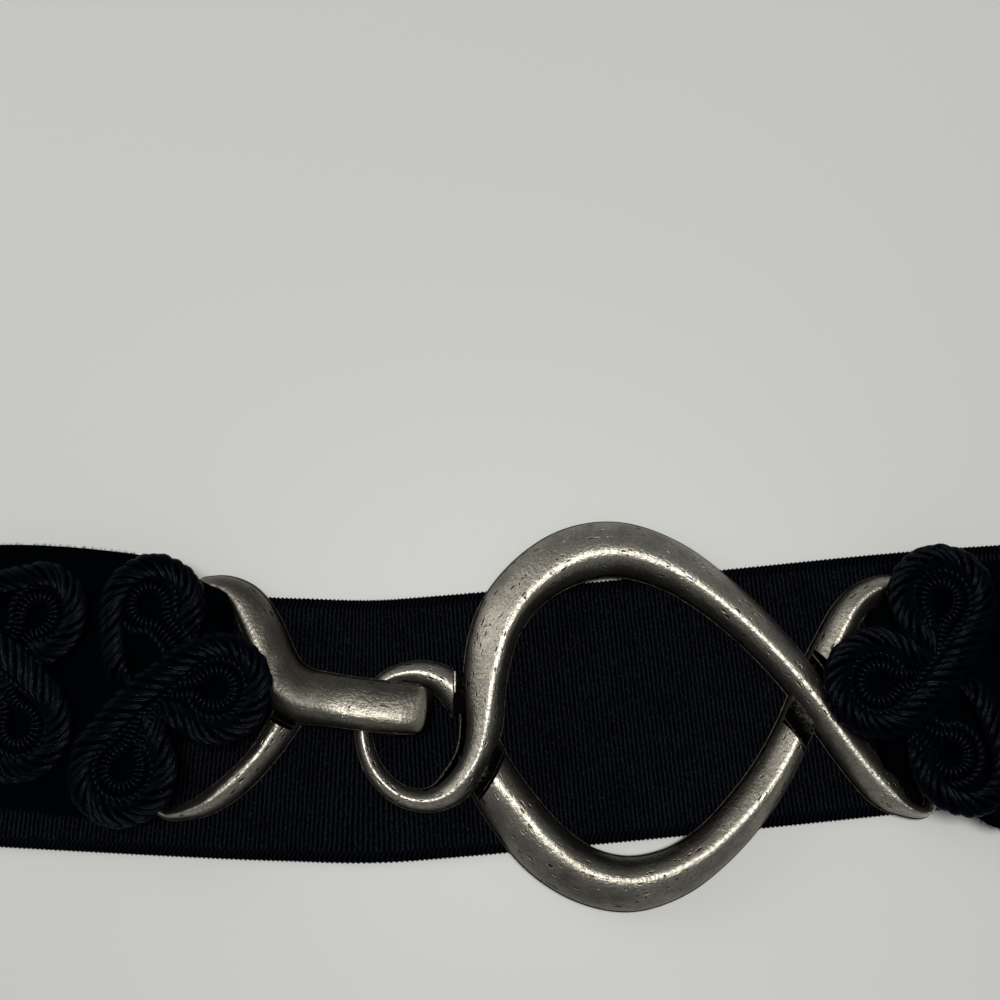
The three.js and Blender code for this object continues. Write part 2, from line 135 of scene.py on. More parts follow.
# %% A finish that adds nodes
class Finish:
    """A material whose nodes are written as expressions."""

    def __init__(self, name):
        self.material = bpy.data.materials.new(name)
        self.material.use_nodes = True
        self.tree = self.material.node_tree
        self.tree.nodes.clear()

    def node(self, kind, settings=None, sockets=None, out=0):
        made = self.tree.nodes.new(kind)
        for key, value in (settings or {}).items():
            setattr(made, key, value)
        for key, value in (sockets or {}).items():
            if isinstance(value, Signal):
                self.tree.links.new(value.socket, made.inputs[key])
            else:
                made.inputs[key].default_value = value
        return Signal(self, made.outputs[out])

    def maths(self, operation, first, second=0.0):
        return self.node("ShaderNodeMath", {"operation": operation}, {0: first, 1: second})

    def wave(self, turns):
        """Goes from 0 to 1 and back once for each whole turn."""
        return self.maths("SINE", turns * (2 * math.pi)) * 0.5 + 0.5

    def between(self, value, low, high):
        """0 below low, 1 above high, and a smooth step between them."""
        settings = {"interpolation_type": "SMOOTHSTEP"}
        return self.node("ShaderNodeMapRange", settings, {0: value, 1: low, 2: high})

    def mix(self, share, first, second):
        """A colour between two colours."""
        sockets = {0: share, 6: self.colour(first), 7: self.colour(second)}
        return self.node("ShaderNodeMix", {"data_type": "RGBA"}, sockets, out=2)

    def colour(self, value):
        return value if isinstance(value, Signal) else (*value, 1)

    def place(self):
        return self.node("ShaderNodeTexCoord", out=3)

    def map(self, name):
        """The piece's own UV map of that name."""
        return self.node("ShaderNodeUVMap", {"uv_map": name})

    def split(self, vector):
        """The first two numbers of a vector."""
        first = self.node("ShaderNodeSeparateXYZ", None, {0: vector})
        return first, Signal(self, first.socket.node.outputs[1])

    def noise(self, size, detail=3):
        """Soft noise whose patches are about as wide as size, in metres."""
        sockets = {"Vector": self.place(), "Scale": 0.5 / size, "Detail": detail}
        return self.node("ShaderNodeTexNoise", None, sockets)

    def bump(self, height, distance, strength):
        sockets = {"Height": height, "Distance": distance, "Strength": strength}
        return self.node("ShaderNodeBump", None, sockets)

    def surface(self, **sockets):
        named = {
            key.replace("_", " ").title().replace("Ior", "IOR"): value
            for key, value in sockets.items()
        }
        shader = self.node("ShaderNodeBsdfPrincipled", None, named)
        output = self.tree.nodes.new("ShaderNodeOutputMaterial")
        self.tree.links.new(shader.socket, output.inputs["Surface"])
        print("finish", self.material.name, len(self.tree.nodes), "nodes")
        return self.material


# %% [markdown]
# ## Table and light
# The belt lies on a pale table under soft light that comes from above and from the left.
# A plain plane is enough for a plain table. The metal shows what is round it, so the lights
# are large soft panels: one right above, which the crests of the casting mirror as thin
# bright lines, a low one on the left for the flanks, and a dim room for everything else.

# %% Make the table
TABLE_DROP = 0.05
TABLE_SIZE = 6
TABLE_SHADES = ((0.62, 0.635, 0.615), (0.67, 0.675, 0.66))


def primitive(name, add, **settings):
    """A new primitive, with its place, turn and size put into its mesh."""
    bpy.ops.object.select_all(action="DESELECT")
    add(**settings)
    bpy.ops.object.transform_apply(location=True, rotation=True, scale=True)
    bpy.context.object.name = name
    return bpy.context.object


table = primitive(
    "table", bpy.ops.mesh.primitive_plane_add, size=TABLE_SIZE, location=(0, 0, -TABLE_DROP * MM),
)

finish = Finish("pale_table")
table.data.materials.append(finish.surface(
    base_color=finish.mix(finish.noise(0.12, detail=1), *TABLE_SHADES),
    roughness=0.38 + 0.12 * finish.noise(0.0006, detail=2),
    specular_ior_level=0.35,
))
table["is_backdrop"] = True

# %% Make the room and the lights
PANELS = [
    # name, place, aim, size, watts, tint
    ("panel_above", (0, 0.05, 1), (0, 0.03, 0), (0.40, 0.28), 6.5, (1, 0.99, 0.95)),
    ("panel_left", (-1.10, 0.55, 0.55), (0, 0, 0), (1.00, 0.70), 4.2, (1, 0.99, 0.96)),
]
ROOM_COLOUR = (0.86, 0.90, 0.92, 1)
ROOM_STRENGTH = 0.175

for name, place, aim, size, watts, tint in PANELS:
    light = bpy.data.lights.new(name, "AREA")
    light.shape = "RECTANGLE"
    light.size, light.size_y = size
    light.energy = watts
    light.color = tint
    lamp = bpy.data.objects.new(name, light)
    lamp.location = place
    lamp.rotation_euler = (Vector(aim) - Vector(place)).to_track_quat("-Z", "Y").to_euler()
    bpy.context.scene.collection.objects.link(lamp)

room = bpy.data.worlds.new("room")
room.use_nodes = True
glow = room.node_tree.nodes["Background"].inputs
glow["Color"].default_value = ROOM_COLOUR
glow["Strength"].default_value = ROOM_STRENGTH
bpy.context.scene.world = room
bpy.context.scene.view_settings.view_transform = "Standard"
print("lights", [lamp.name for lamp in bpy.data.lights])

# %% [markdown]
# ## How the belt lies
# Every piece follows the same few lines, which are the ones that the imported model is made
# from. They are repeated here as tables: the middle of the back run seen from above, and for
# each side of the front the bar of the buckle, the fold at the far end, and the middle of
# the strap between them. A smooth curve through the rows gives as many stations as a piece
# needs.


# %% Smooth lines
def smooth_rows(rows, steps):
    """Stations on a smooth curve through the rows, with some steps from row to row."""
    rows = np.asarray(rows, float)
    ends = np.vstack([rows[:1], rows, rows[-1:]])
    places = np.linspace(0, len(rows) - 1, (len(rows) - 1) * steps + 1)
    row = np.minimum(places.astype(int), len(rows) - 2)
    t = (places - row)[:, None]
    before, start, stop, after = (ends[row + k] for k in range(4))
    rise, fall = (stop - before) / 2, (after - start) / 2
    bend = 2 * start - 2 * stop + rise + fall
    turn = -3 * start + 3 * stop - 2 * rise - fall
    return ((bend * t + turn) * t + rise) * t + start


def line_y(line, x):
    """Where a line is at some x."""
    order = np.argsort(line[:, 0])
    return np.interp(x, line[order, 0], line[order, 1])


def ease(x, start, stop):
    """Goes smoothly from 0 to 1 while x goes from start to stop."""
    share = np.clip((np.asarray(x, float) - start) / (stop - start), 0, 1)
    return share * share * (3 - 2 * share)


def lerp(start, stop, share):
    return start + (stop - start) * share


def travelled(points):
    """Length of the way so far, at each point."""
    return np.concatenate([[0], np.cumsum(np.linalg.norm(np.diff(points, axis=0), axis=1))])


# %% Sizes and lines of the belt
GAP = 0.3
BAND_WIDTH = 50
BAND_THICK = 1.5
CAST_BASE = BAND_THICK + GAP
FOLD_RADIUS = 5
FOLD_RUN = 23
SEAM = 16
LINE_STEPS = 12

BACK_LINE = [
    # x, y
    (-207, 4.5), (-165, 2.4), (-122, -0.2), (-84, -2.2), (-66, -2.9), (-52, -3.2), (-38, -2.3),
    (-12, 0), (20, 3), (50, 6), (72, 7.7), (110, 9.7), (171, 10.5),
]


class Side:
    """One side of the belt's front, from the bar of its buckle out to the fold.

    out is -1 on the left and 1 on the right. strap_end gives the strap's width at the bar,
    how far it lies off the line there, and how far it reaches past the bar.
    """

    def __init__(self, name, out, fold, strap_end, bar_top, bar_foot, line):
        self.name = name
        self.out = out
        self.fold = fold
        self.end = fold - out * FOLD_RUN
        self.end_width, self.end_shift, self.wrap_reach = strap_end
        self.bar_top = bar_top
        self.bar = (bar_top[0] + bar_foot[0]) / 2
        self.lean = (bar_top[0] - bar_foot[0]) / (bar_top[1] - bar_foot[1])
        self.line = smooth_rows(line, LINE_STEPS)


LEFT = Side(
    "left", -1, fold=-207, strap_end=(31, 6.5, 6.6), bar_top=(-85, 23), bar_foot=(-88.9, -17.6),
    line=[
        # x, y
        (-87, 3.2), (-104, 5.6), (-114, 6.7), (-125, 7.2), (-150, 7), (-184, 5.4), (-207, 4.5),
    ],
)
RIGHT = Side(
    "right", 1, fold=171, strap_end=(38, 1.3, 7.6), bar_top=(52.4, 24), bar_foot=(53.4, -17.4),
    line=[
        # x, y
        (53, 3), (60, 3.2), (68, 3.6), (84, 5), (105, 7), (148, 9.9), (171, 10.5),
    ],
)
back_line = smooth_rows(BACK_LINE, LINE_STEPS)
print("back run", round(travelled(back_line)[-1], 1), "mm, bars at", LEFT.bar, RIGHT.bar)


# %% Turn stations into a mesh
UPRIGHT = np.array([0.0, 0.0, 1.0])


def unit(rows):
    """The same arrows, each one long."""
    return rows / np.linalg.norm(rows, axis=-1, keepdims=True)


def headings(points):
    """Direction of travel at each point, from its neighbours."""
    return unit(np.gradient(points, axis=0))


def resample(points, step):
    """The same line with its points an even step apart."""
    way = travelled(points)
    places = np.linspace(0, way[-1], max(int(round(way[-1] / step)), 2) + 1)
    return np.stack([np.interp(places, way, column) for column in points.T], axis=1)


def flat_tube(middle, across, reach, half):
    """Rings of a flat strip: how far each column lies across it, and its half thickness."""
    up = unit(np.cross(headings(middle), across))
    flat = middle[:, None] + across[:, None] * reach[..., None]
    top = flat + up[:, None] * half[..., None]
    low = flat - up[:, None] * half[..., None]
    return np.concatenate([top, low[:, ::-1]], axis=1)


def tube_faces(rings, sides):
    """Four-sided faces between rings of points, and a face over each end."""
    points = np.arange(rings * sides).reshape(rings, sides)
    beside = np.roll(points, -1, axis=1)
    quads = np.stack([points[:-1], points[1:], beside[1:], beside[:-1]], axis=-1)
    return [*quads.reshape(-1, 4).tolist(), points[0].tolist(), points[-1, ::-1].tolist()]


def tube_uv(along, around):
    """UV of the corners of tube_faces: along the way and around it, both in millimetres."""
    sides = along.shape[1]
    full_turn = around[:, :1] + around[:, -1:] * sides / (sides - 1)
    ends = np.stack([along, around], axis=-1)
    grid = np.concatenate([ends, np.stack([along[:, :1], full_turn], axis=-1)], axis=1)
    body = np.stack([grid[:-1, :-1], grid[1:, :-1], grid[1:, 1:], grid[:-1, 1:]], axis=2)
    return np.concatenate([body.reshape(-1, 2), ends[0], ends[-1, ::-1]])


def build(name, points, faces, uv=None):
    """A mesh object from points in millimetres."""
    mesh = bpy.data.meshes.new(name)
    mesh.from_pydata((np.asarray(points) * MM).tolist(), [], faces)
    if uv is not None:
        mesh.uv_layers.new(name="UVMap").data.foreach_set("uv", np.asarray(uv, np.float32).ravel())
    mesh.polygons.foreach_set("use_smooth", [True] * len(mesh.polygons))
    mesh.update()
    piece = bpy.data.objects.new(name, mesh)
    bpy.context.scene.collection.objects.link(piece)
    print(name, sum(len(p.vertices) - 2 for p in mesh.polygons), "triangles")
    return piece


# %% [markdown]
# ## Elastic band
# The elastic is a woven tape whose ribs run across its width, 0.85 mm apart. Along each rib
# the rubber threads show as a row of dots, and both edges end in small knobs where the weft
# turns back. The ribs and the knobs change the outline, so they are in the mesh: a long flat
# tube is swept along the belt, four stations to a rib. The dots are too small for that, so
# they are in the finish, which also paints a sheen onto the rib crests and a scatter of small
# glints.

# %% Elastic finish
RIB_PITCH = 0.85
RIB_WANDER = 0.35
DOT_PITCH = 1.1
WOVEN_TO, PLAIN_FROM = BAND_WIDTH / 2 - 2.3, BAND_WIDTH / 2 - 1.7
# The lighter shade is the thread colour with a painted sheen on it.
ELASTIC_BASE_AND_SHEEN = ((0.0002, 0.0005, 0.0011), (0.0108, 0.0118, 0.0165))

finish = Finish("ribbed_elastic")
along, across = finish.split(finish.map("UVMap"))
uneven = finish.noise(0.006)
fleck = finish.noise(0.0003)
glint = finish.noise(0.00016, detail=0)
wander = finish.noise(0.0012, detail=2)
rib = finish.wave((along + (wander - 0.5) * RIB_WANDER) / RIB_PITCH + 0.25)
pair = finish.wave(along / (2 * RIB_PITCH))
dots = finish.wave(across / DOT_PITCH + pair)
slanted = finish.wave(along / RIB_PITCH + across * 0.4)
inner = 1 - finish.between(finish.maths("ABSOLUTE", across), WOVEN_TO, PLAIN_FROM)
# Painted glints, and below them the rib crests painted lighter as a painted sheen.
painted_glint = finish.between(glint + dots * 0.06, 0.72, 0.80)
broken = 0.5 + 0.6 * finish.between(fleck, 0.34, 0.62)
weave_and_sheen = rib ** 3 * (0.75 + 0.2 * pair) * broken + painted_glint * 1.4
weave_and_sheen = weave_and_sheen * finish.between(uneven, 0, 0.55) * (0.78 + 0.44 * dots)
thread_and_sheen = weave_and_sheen * inner + slanted ** 4 * (1 - inner) * 0.4
elastic = finish.surface(
    base_color=finish.mix(thread_and_sheen, *ELASTIC_BASE_AND_SHEEN),
    roughness=0.75,
    specular_ior_level=0.006,
    normal=finish.bump(dots * 0.3 + fleck * 0.7, 0.00010, 0.6),
)

# %% Path of the elastic
STATIONS_PER_RIB = 4
FRONT_STATIONS, FOLD_STATIONS = 48, 33


def front_run(side):
    """The elastic's front end, from under the strap to its fold."""
    x = np.linspace(side.end - side.out * SEAM, side.fold, FRONT_STATIONS)[:-1]
    low = CAST_BASE + BAND_THICK / 2
    high = 2 * FOLD_RADIUS - BAND_THICK / 2
    share = ease(side.out * x, side.out * side.end, side.out * side.fold)
    return np.stack([x, line_y(side.line, x), lerp(low, high, share)], axis=1)


def fold_run(side):
    """Half a turn round the fold, from the front run down to the back."""
    angle = np.linspace(0, math.pi, FOLD_STATIONS)
    radius = FOLD_RADIUS - BAND_THICK / 2
    x = side.fold + side.out * radius * np.sin(angle)
    y = np.full_like(x, line_y(back_line, side.fold))
    return np.stack([x, y, FOLD_RADIUS + radius * np.cos(angle)], axis=1)


back = back_line[1:-1]
back_run = np.column_stack([back, np.full(len(back), BAND_THICK / 2)])
band_path = np.vstack([
    front_run(RIGHT), fold_run(RIGHT), back_run[::-1], fold_run(LEFT)[::-1], front_run(LEFT)[::-1],
])
band_path = resample(band_path, RIB_PITCH / STATIONS_PER_RIB)

# %% Elastic band
SELVEDGE = 1.6
SELVEDGE_LAG = 0.7
RIB_DEPTH = 0.2
KNOB_REACH = 0.34
KNOB_CENTRE = 0.75
KNOB_CHANGE = 0.45
KNOB_BEATS = (1.9, 0.37)
SLOPE_RUN = 30
HALF_COLUMNS = [
    # across, share of the thickness
    (25, 0.35), (24.8, 0.8), (24.4, 1), (23.9, 1), (23.3, 1), (12, 1),
]

x = band_path[:, 0]
slope = np.interp(x, back_line[:, 0], np.gradient(back_line[:, 1], back_line[:, 0]))
slope *= ease(np.minimum(RIGHT.fold - x, x - LEFT.fold), 0, SLOPE_RUN)
square = unit(np.column_stack([-slope, np.ones_like(slope), np.zeros_like(slope)]))
other_half = [(-across, share) for across, share in reversed(HALF_COLUMNS)]
columns, rounding = np.array([*HALF_COLUMNS, (0, 1), *other_half]).T
in_selvedge = np.clip((np.abs(columns) - (BAND_WIDTH / 2 - SELVEDGE)) / SELVEDGE, 0, 1)
turns = travelled(band_path)[:, None] / RIB_PITCH + SELVEDGE_LAG * in_selvedge
crest = 0.5 + 0.5 * np.cos(2 * math.pi * turns)
slow, slower = (np.sin(beat * turns) for beat in KNOB_BEATS)
knobs = KNOB_REACH * (1 + KNOB_CHANGE * slow * slower) * (crest - KNOB_CENTRE)
reach = columns + np.sign(columns) * np.where(np.abs(columns) == BAND_WIDTH / 2, knobs, 0)
half = (BAND_THICK / 2 - RIB_DEPTH * (1 - crest)) * rounding
rings = flat_tube(band_path, square, reach, half)
along = np.repeat(travelled(band_path)[:, None], rings.shape[1], axis=1)
around = np.repeat(np.concatenate([columns, columns[::-1]])[None], len(rings), axis=0)
uv = tube_uv(along, around)
uv[:, 1] = np.clip(uv[:, 1], -BAND_WIDTH / 2, BAND_WIDTH / 2)

band = build("elastic_band", rings.reshape(-1, 3), tube_faces(*rings.shape[:2]), uv)
band.data.materials.append(elastic)
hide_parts("stretch_band")
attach(band, "root")

# %% [markdown]
# ## Velvet straps
# Each strap is a double velvet strip that comes down from the buckle's bar, runs out over
# the elastic and is sewn to it, while its other end goes round the bar and lies turned back
# below. It could be cloth simulated over the bar, but it is sewn tight and hardly moves, so
# the strip is drawn as a line in side view and given its width station by station.
# Velvet looks black from above and greyer at a slant, because light meets its pile from the
# side. Sheen on a very dark base does that, and a few tufts stand out from the cut edge.

# %% Velvet finish
VELVET_SHADES = ((0.0002, 0.0005, 0.0008), (0.0008, 0.0014, 0.0020))
SHEEN_TINT = (0.35, 0.45, 0.65, 1)

finish = Finish("black_velvet")
nap = finish.noise(0.0009, detail=5)
crushed = finish.noise(0.007)
velvet = finish.surface(
    base_color=finish.mix(crushed, *VELVET_SHADES),
    roughness=0.95,
    specular_ior_level=0.0,
    sheen_weight=0.01,
    sheen_roughness=0.35,
    sheen_tint=SHEEN_TINT,
    normal=finish.bump(nap + crushed * 0.6, 0.00035, 0.8),
)

# %% Line of a strap
STRAP_THICK = 1.4
BAR_RADIUS = 1.5
WRAP_RADIUS = BAR_RADIUS + GAP + STRAP_THICK / 2
BAR_HEIGHT = CAST_BASE + WRAP_RADIUS + STRAP_THICK / 2
WRAP_SHARE = 0.8
TAIL = 22
RISE_START, RISE_END = 12, 2
FALL_START, FALL_END = 3, 62
FLARE_START, FLARE_END = -1, 13
LEAN_RUN = 30
UPPER_STATIONS, TURN_STATIONS = 121, 25


def strap_height(side, x):
    """Height of the strap's middle layer away from the bar."""
    rest = CAST_BASE + STRAP_THICK / 2
    over = rest + BAND_THICK + GAP
    elastic_end = side.end - side.out * SEAM
    out = side.out * x
    down = ease(out, side.out * side.bar + FALL_START, side.out * side.bar + FALL_END)
    rise = ease(out, side.out * elastic_end - RISE_START, side.out * elastic_end - RISE_END)
    return lerp(lerp(BAR_HEIGHT + WRAP_RADIUS, rest, down), over, rise)


def strap_stations(side):
    """Rows of x, y, z, width and lean, from the seam to the bar, round it and back below."""
    x = np.linspace(side.end, side.bar, UPPER_STATIONS)
    out = side.out * x
    bar = side.out * side.bar
    flare = ease(out, bar + FLARE_START, bar + FLARE_END)
    width = lerp(side.end_width, BAND_WIDTH, flare)
    lean = side.lean * (1 - ease(out, bar, bar + LEAN_RUN))
    y = line_y(side.line, x) + side.end_shift * (1 - flare)
    upper = np.stack([x, y, strap_height(side, x), width, lean], axis=1)
    angle = np.linspace(0, math.pi, TURN_STATIONS)[1:]
    turn = np.stack([
        side.bar - side.out * side.wrap_reach * np.sin(angle),
        np.full_like(angle, y[-1]),
        BAR_HEIGHT + WRAP_RADIUS * np.cos(angle),
        side.end_width * (1 - (1 - WRAP_SHARE) * np.sin(angle)),
        np.full_like(angle, side.lean),
    ], axis=1)
    x = np.linspace(side.bar, side.bar + side.out * TAIL, TURN_STATIONS)[1:]
    y = line_y(side.line, x) + side.end_shift
    flat = np.ones_like(x)
    low = (BAR_HEIGHT - WRAP_RADIUS) * flat
    tail = np.stack([x, y, low, side.end_width * flat, side.lean * flat], axis=1)
    return np.vstack([upper, turn, tail])


# %% Velvet straps
STRAP_SHARES = np.concatenate([[1, 0.994, 0.975], np.linspace(0.94, -0.94, 19), [-0.975, -0.994, -1]])
EDGE_SQUARENESS, EDGE_THICKNESS = 60, 0.25
STRAP_ROUNDING = np.sqrt(1 - np.abs(STRAP_SHARES) ** EDGE_SQUARENESS)
STRAP_ROUNDING[[0, -1]] = EDGE_THICKNESS


def make_strap(side):
    """The strap's strip, with the length and area that it was cut to."""
    stations = strap_stations(side)
    middle, width, lean = stations[:, :3], stations[:, 3], stations[:, 4]
    cross = unit(np.stack([lean, np.ones_like(lean), np.zeros_like(lean)], axis=1))
    reach = STRAP_SHARES * width[:, None] / 2
    rings = flat_tube(middle, cross, reach, STRAP_THICK / 2 * STRAP_ROUNDING)
    strap = build(f"{side.name}_velvet", rings.reshape(-1, 3), tube_faces(*rings.shape[:2]))
    strap.data.materials.append(velvet)
    way = travelled(middle)
    area = (np.diff(way) * (width[1:] + width[:-1]) / 2).sum()
    print(side.name, "strap is cut", BAND_WIDTH, "x", round(way[-1], 1), "mm, area", round(area))
    return strap, way[-1], area


TUFTS = 700
TUFTED_STATIONS = UPPER_STATIONS - 3
TUFT_LENGTH = (0.25, 0.7)
TUFT_RADIUS = (0.04, 0.09)
TUFT_ROOT = 0.25
ROOT_ALONG, ROOT_UP = (-0.4, 0.4), (-0.5, 0.5)
TIP_ALONG, TIP_UP = (-0.35, 0.35), (-0.25, 0.25)
LONG_TUFTS, LONGER = 0.25, 1.5


def make_pile(side, seed):
    """Short tufts that stand out from the strap's long edges, some longer on the low side."""
    draw = random.Random(seed)
    stations = strap_stations(side)[:TUFTED_STATIONS]
    points, faces = [], []
    for sign in (1, -1):
        for _ in range(TUFTS):
            x, y, z, width, lean = stations[draw.randrange(len(stations))]
            length = draw.uniform(*TUFT_LENGTH)
            if sign < 0 and draw.random() < LONG_TUFTS:
                length *= LONGER
            root = Vector((x, y, z)) + Vector((lean, 1, 0)) * sign * (width / 2 - TUFT_ROOT)
            root += Vector((draw.uniform(*ROOT_ALONG), 0, draw.uniform(*ROOT_UP)))
            out = sign * (length + TUFT_ROOT)
            aim = (draw.uniform(*TIP_ALONG), out, draw.uniform(*TIP_UP))
            radius = draw.uniform(*TUFT_RADIUS)
            first = len(points)
            for angle in (0, 2 * math.pi / 3, 4 * math.pi / 3):
                points.append(root + Vector((math.cos(angle), 0, math.sin(angle))) * radius)
            points.append(root + Vector(aim))
            faces += [[first + i, first + (i + 1) % 3, first + 3][::sign] for i in range(3)]
            faces.append([first + 2, first + 1, first][::sign])
    pile = build(f"{side.name}_pile", [tuple(p) for p in points], faces)
    pile.data.materials.append(velvet)
    return pile


straps = {}
for side, seed in ((LEFT, 3), (RIGHT, 5)):
    straps[side.name] = (*make_strap(side), make_pile(side, seed))

# %% [markdown]
# ## Cord trefoils
# Each trefoil is laid from three kinds of cord. A thick rope of six twisted strands goes
# round two of its eyes and runs from one to the other in a broad diagonal, and a second
# length goes round the third eye and ends under that diagonal. Inside it lies a thin cord of
# two strands, and round each eye a fine coil of gimp, whose turns look like short spokes.
# The strands of a rope can be faked with a bumpy tube, but the twist is what the eye reads
# here, so every strand is its own tube wound round the rope's line. Two eyes reach past the
# ends of the straps, so a round patch of velvet lies under each of them and carries it; its
# black also fills the eye as painted shade.

# %% Cord finishes
ROPE_SHADES = ((0.0002, 0.0005, 0.0013), (0.0008, 0.0016, 0.0038))
ROPE_SHINE = (0.75, 0.82, 1, 1)
GIMP_SHADES = ((0.0005, 0.0010, 0.0022), (0.0018, 0.0030, 0.0064))
FIBRES_PER_TURN, FIBRE_PITCH = 0.9, 0.28

finish = Finish("navy_rope")
along, around = finish.split(finish.map("UVMap"))
fibres = finish.wave(along * FIBRES_PER_TURN + around / FIBRE_PITCH)
uneven = finish.noise(0.003)
rope_finish = finish.surface(
    base_color=finish.mix(fibres * 0.4 + uneven * 0.6, *ROPE_SHADES),
    roughness=0.12 + 0.10 * uneven + 0.05 * fibres,
    specular_ior_level=0.045,
    specular_tint=ROPE_SHINE,
    normal=finish.bump(fibres * 0.6 + uneven, 0.00012, 0.6),
)

finish = Finish("navy_gimp")
uneven = finish.noise(0.0015)
gimp_finish = finish.surface(
    base_color=finish.mix(uneven, *GIMP_SHADES),
    roughness=0.22,
    specular_ior_level=0.05,
    normal=finish.bump(uneven, 0.00008, 0.5),
)

# %% Places of the trefoils
TREFOILS = [
    # side, number, eye of the single leaf, first and second eye of the joined leaves,
    # heart, shift of the single leaf's rope
    (LEFT, 1, (-94, 19.8), (-80.2, 4), (-96.9, -10.8), (-91.4, 3.8), (0.8, -0.4)),
    (LEFT, 2, (-115.5, 18.2), (-117.4, -3), (-133.2, 8.8), (-123.5, 7.8), (0, 0)),
    (LEFT, 3, (-153, 18.2), (-154.6, -4.2), (-170, 7.4), (-158.6, 7), (0, 0)),
    (RIGHT, 1, (56.4, -8), (43.8, 5), (56.8, 20.8), (53, 6), (2.2, -1.3)),
    (RIGHT, 2, (78.8, 17), (80.2, -4.6), (96, 7.4), (84, 6), (0, 0)),
    (RIGHT, 3, (116.2, 18.6), (117.6, -3.2), (133.2, 9.2), (121.6, 7.8), (0, 0)),
]
ROPE_LINE = 8.1
SINGLE_LINE = 7.7
CORD_LINE = 5.6
GIMP_LINE = 3.35
ROPE_SPREAD = 0.9
CORD_SPREAD = -0.2
CROTCH = [
    # past the middle between the eyes, and towards the diagonal
    (0.9, 5.2), (1.9, 2.4),
]
LEGS = [
    # past the foot of the single leaf, and up from the diagonal
    (-0.5, 1.2), (12.2, 6.6), (12.4, 1.8),
]
CORD_ENDS = [
    # the same, for the fine cord
    (-1.5, 0), (3.5, 0),
]
print(len(TREFOILS), "trefoils, ropes", ROPE_LINE, "mm from their eyes")

# %% Lines of a trefoil
LEAF_STEPS = 6
ARC_STEP = 3
DROP_OPENING = 0.5
DROP_STRETCH = 1.25
DROP_NECK = 1.75
DROP_RUN = 1.15
DROP_STATIONS = 12


def angle_of(v):
    return math.atan2(v[1], v[0])


def arc(centre, radius, start, stop):
    """Points on a circle from one angle to another, about three millimetres apart."""
    angles = np.linspace(start, stop, max(int(abs(stop - start) * radius / ARC_STEP), 4))
    return centre + radius * np.stack([np.cos(angles), np.sin(angles)], axis=1)


def turned(angle, sign):
    """The same angle, as a positive turn for sign 1 and a negative one for -1."""
    return sign * ((sign * angle) % (2 * math.pi))


class Trefoil:
    """Three eyes: two joined leaves with the diagonal between them, and a single one."""

    def __init__(self, single, first, second, heart, shift):
        self.single, self.first, self.second, self.heart, self.shift = (
            np.array(p, float) for p in (single, first, second, heart, shift)
        )
        self.along = (self.second - self.first) / np.linalg.norm(self.second - self.first)
        self.normal = np.array([-self.along[1], self.along[0]])
        self.normal *= np.sign(self.normal @ (self.single - self.first))
        self.turn = np.sign(self.along[0] * self.normal[1] - self.along[1] * self.normal[0])
        gap = (self.single - self.first) @ self.normal - ROPE_LINE - ROPE_SPREAD
        self.foot = self.single - self.normal * gap

    def joined(self, radius, opening, spread, crotch=()):
        """Round the first eye, along the diagonal and round the second eye."""
        begin = angle_of(self.along) + self.turn * opening
        top = angle_of(self.normal)
        end = angle_of(-self.along) - self.turn * opening
        into = arc(self.first, radius, begin, begin + turned(top - begin, -self.turn))
        outof = arc(self.second, radius, top, top + turned(end - top, -self.turn))
        half_way = (self.first + self.second) / 2
        middle = half_way + self.normal * (radius + spread)
        before = [half_way - self.along * past + self.normal * up for past, up in crotch]
        after = [half_way + self.along * past + self.normal * up for past, up in reversed(crotch)]
        return smooth_rows(np.vstack([*before, into, middle, outof, *after]), LEAF_STEPS)

    def alone(self, radius, near, far, ends, shift=0):
        """Round the single eye, with both ends under the diagonal."""
        down = angle_of(-self.normal)
        start = down - self.turn * near
        stop = down - self.turn * (2 * math.pi - far)
        ring = arc(self.single + shift * self.shift, radius, start, stop)
        first, *rest = [self.foot + self.along * past + self.normal * up for past, up in ends]
        return smooth_rows(np.vstack([first, ring, *rest]), LEAF_STEPS)

    def drop(self, eye, radius):
        """Round an eye and on to the heart in two runs side by side, like a drop."""
        target = self.foot if eye is self.single else self.heart
        length = np.linalg.norm(target - eye)
        axis = (target - eye) / length
        side = np.array([-axis[1], axis[0]])
        angles = np.linspace(DROP_OPENING, 2 * math.pi - DROP_OPENING, DROP_STATIONS)
        stretch = np.where(np.cos(angles) > 0, DROP_STRETCH, 1)
        ring = (np.cos(angles) * stretch)[:, None] * axis + np.sin(angles)[:, None] * side
        neck = radius * DROP_NECK
        far = max(length - 1, neck + 1)
        into = [axis * reach + side * DROP_RUN for reach in (far, neck)]
        outof = [axis * reach - side * DROP_RUN for reach in (neck, far)]
        return smooth_rows(eye + np.vstack([*into, radius * ring, *outof]), LEAF_STEPS)


# %% Wind strands round a line
STRAND_SIZES = (1.08, 0.86, 1.02, 0.9, 1.12, 0.95)
LOWER_HALF = 0.8
DRIFT_RUN, DRIFT_SHIFT = 3.7, 2.1


def together(parts):
    """Joins several points, faces and UVs into one set."""
    points, faces, uvs, start = [], [], [], 0
    for part_points, part_faces, part_uv in parts:
        points.append(part_points)
        faces += [[i + start for i in face] for face in part_faces]
        uvs.append(part_uv)
        start += len(part_points)
    return np.vstack(points), faces, np.concatenate(uvs)


